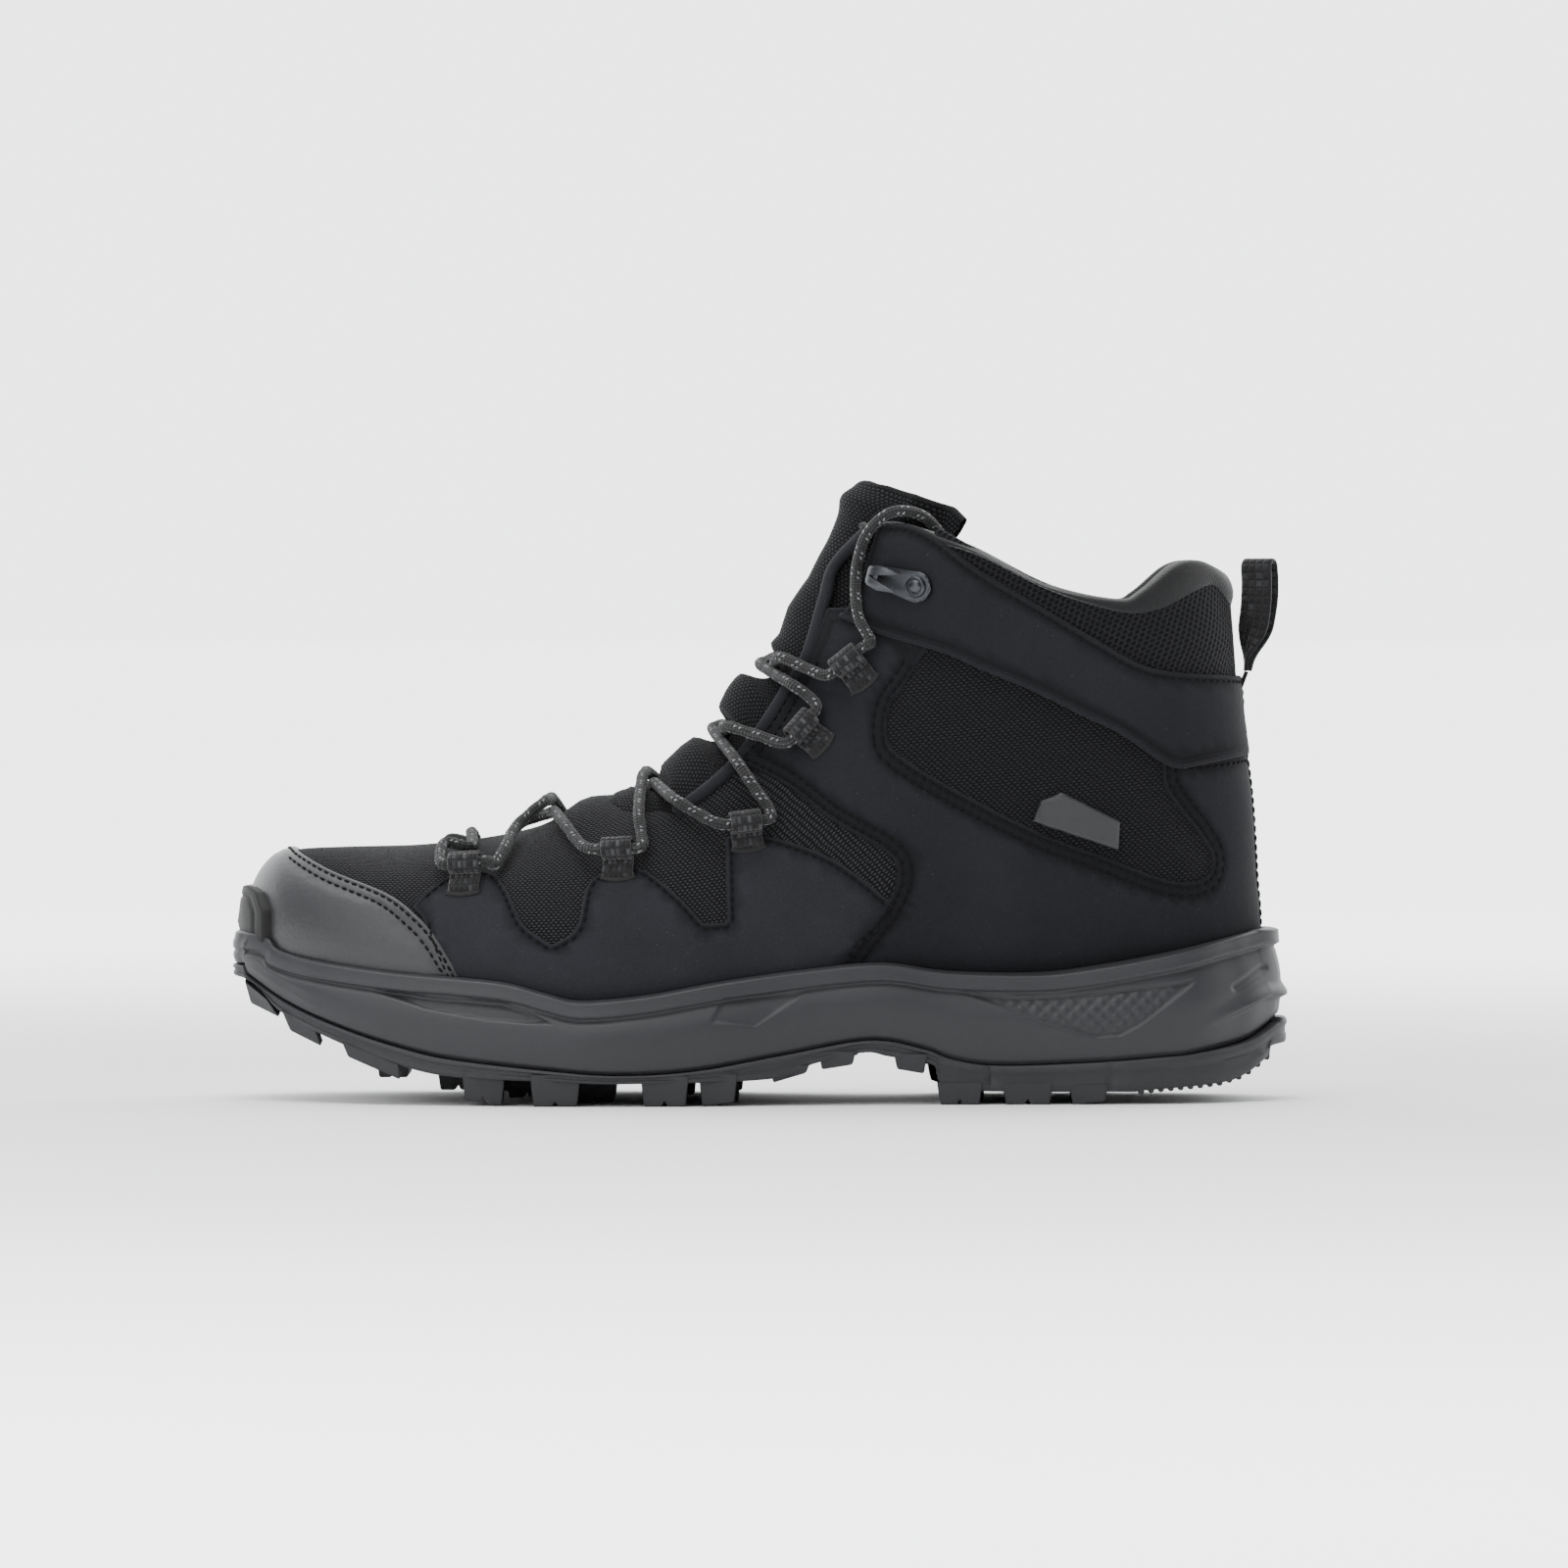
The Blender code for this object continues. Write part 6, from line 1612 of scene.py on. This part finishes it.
def make_tongue():
    """The whole tongue, one padded piece."""
    base, crown = 7.35, 19.9
    rows, columns = 150, 90
    share = np.linspace(0.0, 1.0, rows)
    spread = np.linspace(-1.0, 1.0, columns)
    edge_u = np.array([7.3, 8.0, 8.6, 9.5, 11.0, 13.0, 14.5, 16.0, 17.5, 19.0, 20.5])
    edge_t = np.array([0.66, 0.98, 1.02, 0.98, 0.92, 0.84, 0.80, 0.80, 0.86, 0.98, 1.05])
    top_t = np.array([0.0, 0.37, 0.6, 0.86, 1.1, 1.21, 1.35])
    top_u = np.array([19.75, 19.95, 19.85, 19.6, 19.1, 18.95, 18.7])
    s, w = grid_of(share, spread)
    u = base + (crown - base) * s
    for _ in range(3):
        angle = w * np.interp(u, edge_u, edge_t)
        u = base + (np.interp(np.abs(angle), top_t, top_u) - base) * s
    outer = tongue_height(u, angle)
    lip = smoothstep(0.9, 0.985, s)
    roll = 1.6 * np.exp(-((s - 0.93) / 0.045) ** 2)
    outer = outer + roll
    outer = outer - 6.0 * (1 - smoothstep(7.35, 7.95, u))
    outer = pressed_by_lace(skin(u, angle), skin_normal(u, angle), outer)
    outer_points = lifted(u, angle, outer)
    inner = np.minimum(outer - TONGUE_THICKNESS * (1 - 0.4 * lip) - 0.5, -6.0 + 2.0 * lip)
    inner_points = lifted(u, angle, inner)
    top_outer = outer_points.reshape(rows, columns, 3)
    top_inner = inner_points.reshape(rows, columns, 3)
    rim = []
    for k, a in enumerate(np.radians([20, 45, 70, 90, 110, 135, 160])):
        middle = (top_outer[-1] + top_inner[-1]) / 2
        half = (top_outer[-1] - top_inner[-1]) / 2
        up = unit(top_outer[-1] - top_outer[-3])
        radius = np.linalg.norm(half, axis=1, keepdims=True) * 0.8
        rim.append(middle + half * math.cos(a) + up * radius * math.sin(a))
    sheet = np.vstack([top_outer.reshape(-1, 3), np.array(rim).reshape(-1, 3),
                       top_inner[::-1].reshape(-1, 3)])
    total_rows = rows * 2 + len(rim)
    arc = arc_length(u, angle)
    along = run_along(top_outer[:, columns // 2])
    cloth_outer = np.stack([arc, np.repeat(along, columns)], axis=1).reshape(rows, columns, 2)
    cloth_rim = np.array([cloth_outer[-1] + (0.0, 1.2 * (k + 1)) for k in range(len(rim))])
    cloth_inner = cloth_outer[::-1] + (40.0, 20.0)
    cloth = np.vstack([cloth_outer.reshape(-1, 2), cloth_rim.reshape(-1, 2),
                       cloth_inner.reshape(-1, 2)])
    tongue = new_mesh("tongue", sheet, grid_faces(total_rows, columns), LOOKS["tongue_knit"],
                      body=None, cloth=cloth, replaces=("tongue_lower", "tongue_upper"),
                      slot="knit_mesh")
    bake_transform(tongue)


def station_along(line, angle):
    """Station of a side-view line at each angle round the ankle."""
    line = traced(line)
    order = np.argsort(line[:, 1])
    return np.interp(np.abs(angle), line[order, 1], line[order, 0])


def make_collar():
    """Padded collar: lining that rolls over the top from inside to the edge of the mesh."""
    count = 221
    first = 0.42
    angles = np.concatenate([np.linspace(-first, -math.pi, count // 2 + 1),
                             np.linspace(math.pi, first, count // 2 + 1)[1:]])
    top = station_along(COLLAR, angles)
    low = station_along([(37.5, 166.5), (50, 163)] + MESH_TOP[1:], angles)
    along, _ = skin_slopes(top, angles)
    per_mm = 1.0 / np.maximum(np.linalg.norm(along, axis=1), 1.0)
    rows = []
    for s in np.linspace(0.0, 1.0, 9):
        u = low - 1.6 * per_mm + (top - 0.7 * per_mm - low + 1.6 * per_mm) * s
        swell = -1.9 + 2.0 * math.sin(math.pi * min(1.0, 0.12 + s * 0.62))
        rows.append((u, np.full(len(u), swell)))
    for below, height in ((0.12, -1.6), (0.0, -3.0), (0.0, -4.6), (0.3, -6.2), (1.1, -7.6),
                          (2.6, -8.5), (5.0, -8.9), (8.5, -9.0), (13.0, -8.8), (18.0, -8.4),
                          (24.0, -8.0)):
        rows.append((top - below * per_mm, np.full(len(top), height)))
    verts = np.vstack([lifted(u, angles, height) for u, height in rows])
    collar = new_mesh("collar_binding", verts, grid_faces(len(rows), len(angles)),
                      LOOKS["collar_lining"], replaces=("collar_binding", "collar_foam"),
                      slot="lining_fabric")


LINING_SIDES = 120


def make_lining():
    """Lining of the foot and ankle, seen inside the boot."""
    us = np.linspace(3.0, 20.6, 110)
    angles = np.linspace(-math.pi, math.pi, LINING_SIDES + 1)[:-1]
    u, angle = grid_of(us, angles)
    height = -5.9 - 2.1 * smoothstep(12.0, 16.0, u)
    u = np.minimum(u, station_along(COLLAR, angle) - 0.25)
    verts = lifted(u, angle, height)
    open_top = (np.abs(angle) < 0.8) & (u > 11.5)
    faces = [f for f in grid_faces(len(us), LINING_SIDES, True) if not any(open_top[list(f)])]
    new_mesh("lining", verts, faces, LOOKS["lining"], replaces=("lining", "membrane_bootie"),
             slot="lining_fabric")


FOOTBED_EDGE = 2.05                # angle at which the footbed's rim ends, either side


def make_footbed():
    """Removable footbed: a cupped fabric-topped sheet."""
    us = np.linspace(3.2, 16.2, 90)
    angles = np.linspace(FOOTBED_EDGE, 2 * math.pi - FOOTBED_EDGE, 60)
    u, angle = grid_of(us, angles)
    wrapped = np.where(angle > math.pi, angle - 2 * math.pi, angle)
    rim = smoothstep(0.0, 0.25, np.minimum(angle - FOOTBED_EDGE,
                                             2 * math.pi - FOOTBED_EDGE - angle))
    p = skin(u, wrapped)
    keep = p[:, 2] < read_line(FEATHER, p[:, 0]) + 9.0
    height = -6.3 - 3.5 * rim
    verts = p + skin_normal(u, wrapped) * height[:, None]
    faces = [f for f in grid_faces(len(us), len(angles)) if all(keep[list(f)])]
    new_mesh("footbed", verts, faces, LOOKS["footbed"], replaces=("footbed",), slot="foam")


# ------------------------------------------------------------------------------ the build
NUBUCK = (0.0135, 0.0139, 0.0165)
LOOKS = {
    "nubuck": nubuck_look("nubuck", NUBUCK),
    "strap_nubuck": nubuck_look("strap_nubuck", shade(NUBUCK, 0.95)),
    "mudguard_nubuck": nubuck_look("mudguard_nubuck", shade(NUBUCK, 1.5)),
    "toe_leather": leather_look("toe_leather", (0.026, 0.0266, 0.0295)),
    # The second colour of each knit is painted shade for the gaps between its bars.
    "vamp_knit": brick_knit_look("vamp_knit", (0.034, 0.0348, 0.038), 1.4, 0.85,
                                 (0.0018, 0.0018, 0.0022), slant=0.2),
    "ankle_knit": brick_knit_look("ankle_knit", (0.018, 0.0185, 0.021), 1.7, 0.85,
                                  (0.0016, 0.0016, 0.002), slant=-0.12),
    "tongue_knit": brick_knit_look("tongue_knit", (0.022, 0.0226, 0.025), 1.5, 0.95,
                                   (0.0016, 0.0016, 0.002)),
    # The spacer mesh's second colour is painted shade for its holes.
    "collar_mesh": holed_mesh_look("collar_mesh", (0.0125, 0.0128, 0.0145), 1.7, 1.6,
                                   (0.002, 0.002, 0.0025)),
    "collar_lining": tricot_look("collar_lining", (0.010, 0.0102, 0.0109)),
    "lining": tricot_look("lining", (0.016, 0.016, 0.017)),
    "footbed": tricot_look("footbed", (0.05, 0.052, 0.056)),
    "midsole": moulded_look("midsole", (0.026, 0.0266, 0.0300), 0.52),
    "outsole": moulded_look("outsole", (0.026, 0.0266, 0.0298), 0.6, 0.5),
    "tape": tape_look("tape", (0.008, 0.008, 0.009), (0.05, 0.051, 0.054), 1.5, 2.2),
    "pull_tape": tape_look("pull_tape", (0.006, 0.006, 0.007), (0.026, 0.027, 0.029), 2.3, 2.3),
    "lace": lace_look("lace", (0.016, 0.0163, 0.017), (0.42, 0.43, 0.45)),
    "aglet": grained_look("aglet", (0.012, 0.012, 0.012), 0.25, 0.8, 0.01).material,
    "gunmetal": metal_look("gunmetal", (0.06, 0.063, 0.069), 0.36),
    "welt": grained_look("welt", (0.006, 0.006, 0.0065), 0.8, 0.3, 0.08).material,
    # Painted shade: the toe bumper is the outsole's rubber, painted several times darker for the
    # shade at the toe end.
    "bumper": moulded_look("bumper", (0.0035, 0.0036, 0.004), 0.7, 0.5),
    "thread": grained_look("thread", (0.0028, 0.0028, 0.0031), 0.85, 0.25, 0.05,
                           specular_ior_level=0.2).material,
    "label": grained_look("label", (0.020, 0.0206, 0.0222), 0.5, 0.5, 0.03).material,
    "thermoplastic": grained_look("thermoplastic", (0.5, 0.48, 0.45), 0.6, 0.9, 0.04).material,
    "board": grained_look("board", (0.42, 0.37, 0.27), 0.85, 0.7, 0.08).material,
    "steel": metal_look("steel", (0.5, 0.51, 0.53), 0.3),
}


def keep_inner_nodes():
    """Stiff hidden parts of the CAD model stay as they are, with their own finish."""
    for node, look in (("shank", "steel"), ("insole_board", "board"),
                       ("toe_puff", "thermoplastic"), ("heel_counter", "thermoplastic")):
        mesh = bpy.data.objects[node].data
        mesh.materials.clear()
        mesh.materials.append(LOOKS[look])


make_camera()
make_studio()
make_lace()
make_lace_ends()
make_loops()
make_vamp()
make_toe_cap()
make_overlays()
make_piping()
make_collar_mesh()
make_label()
build_stitches("stitching", LOOKS["thread"])
make_midsole()
make_outsole()
make_toe_bumper()
make_hooks()
make_pull_loop()
make_tongue()
make_collar()
make_lining()
make_footbed()
keep_inner_nodes()
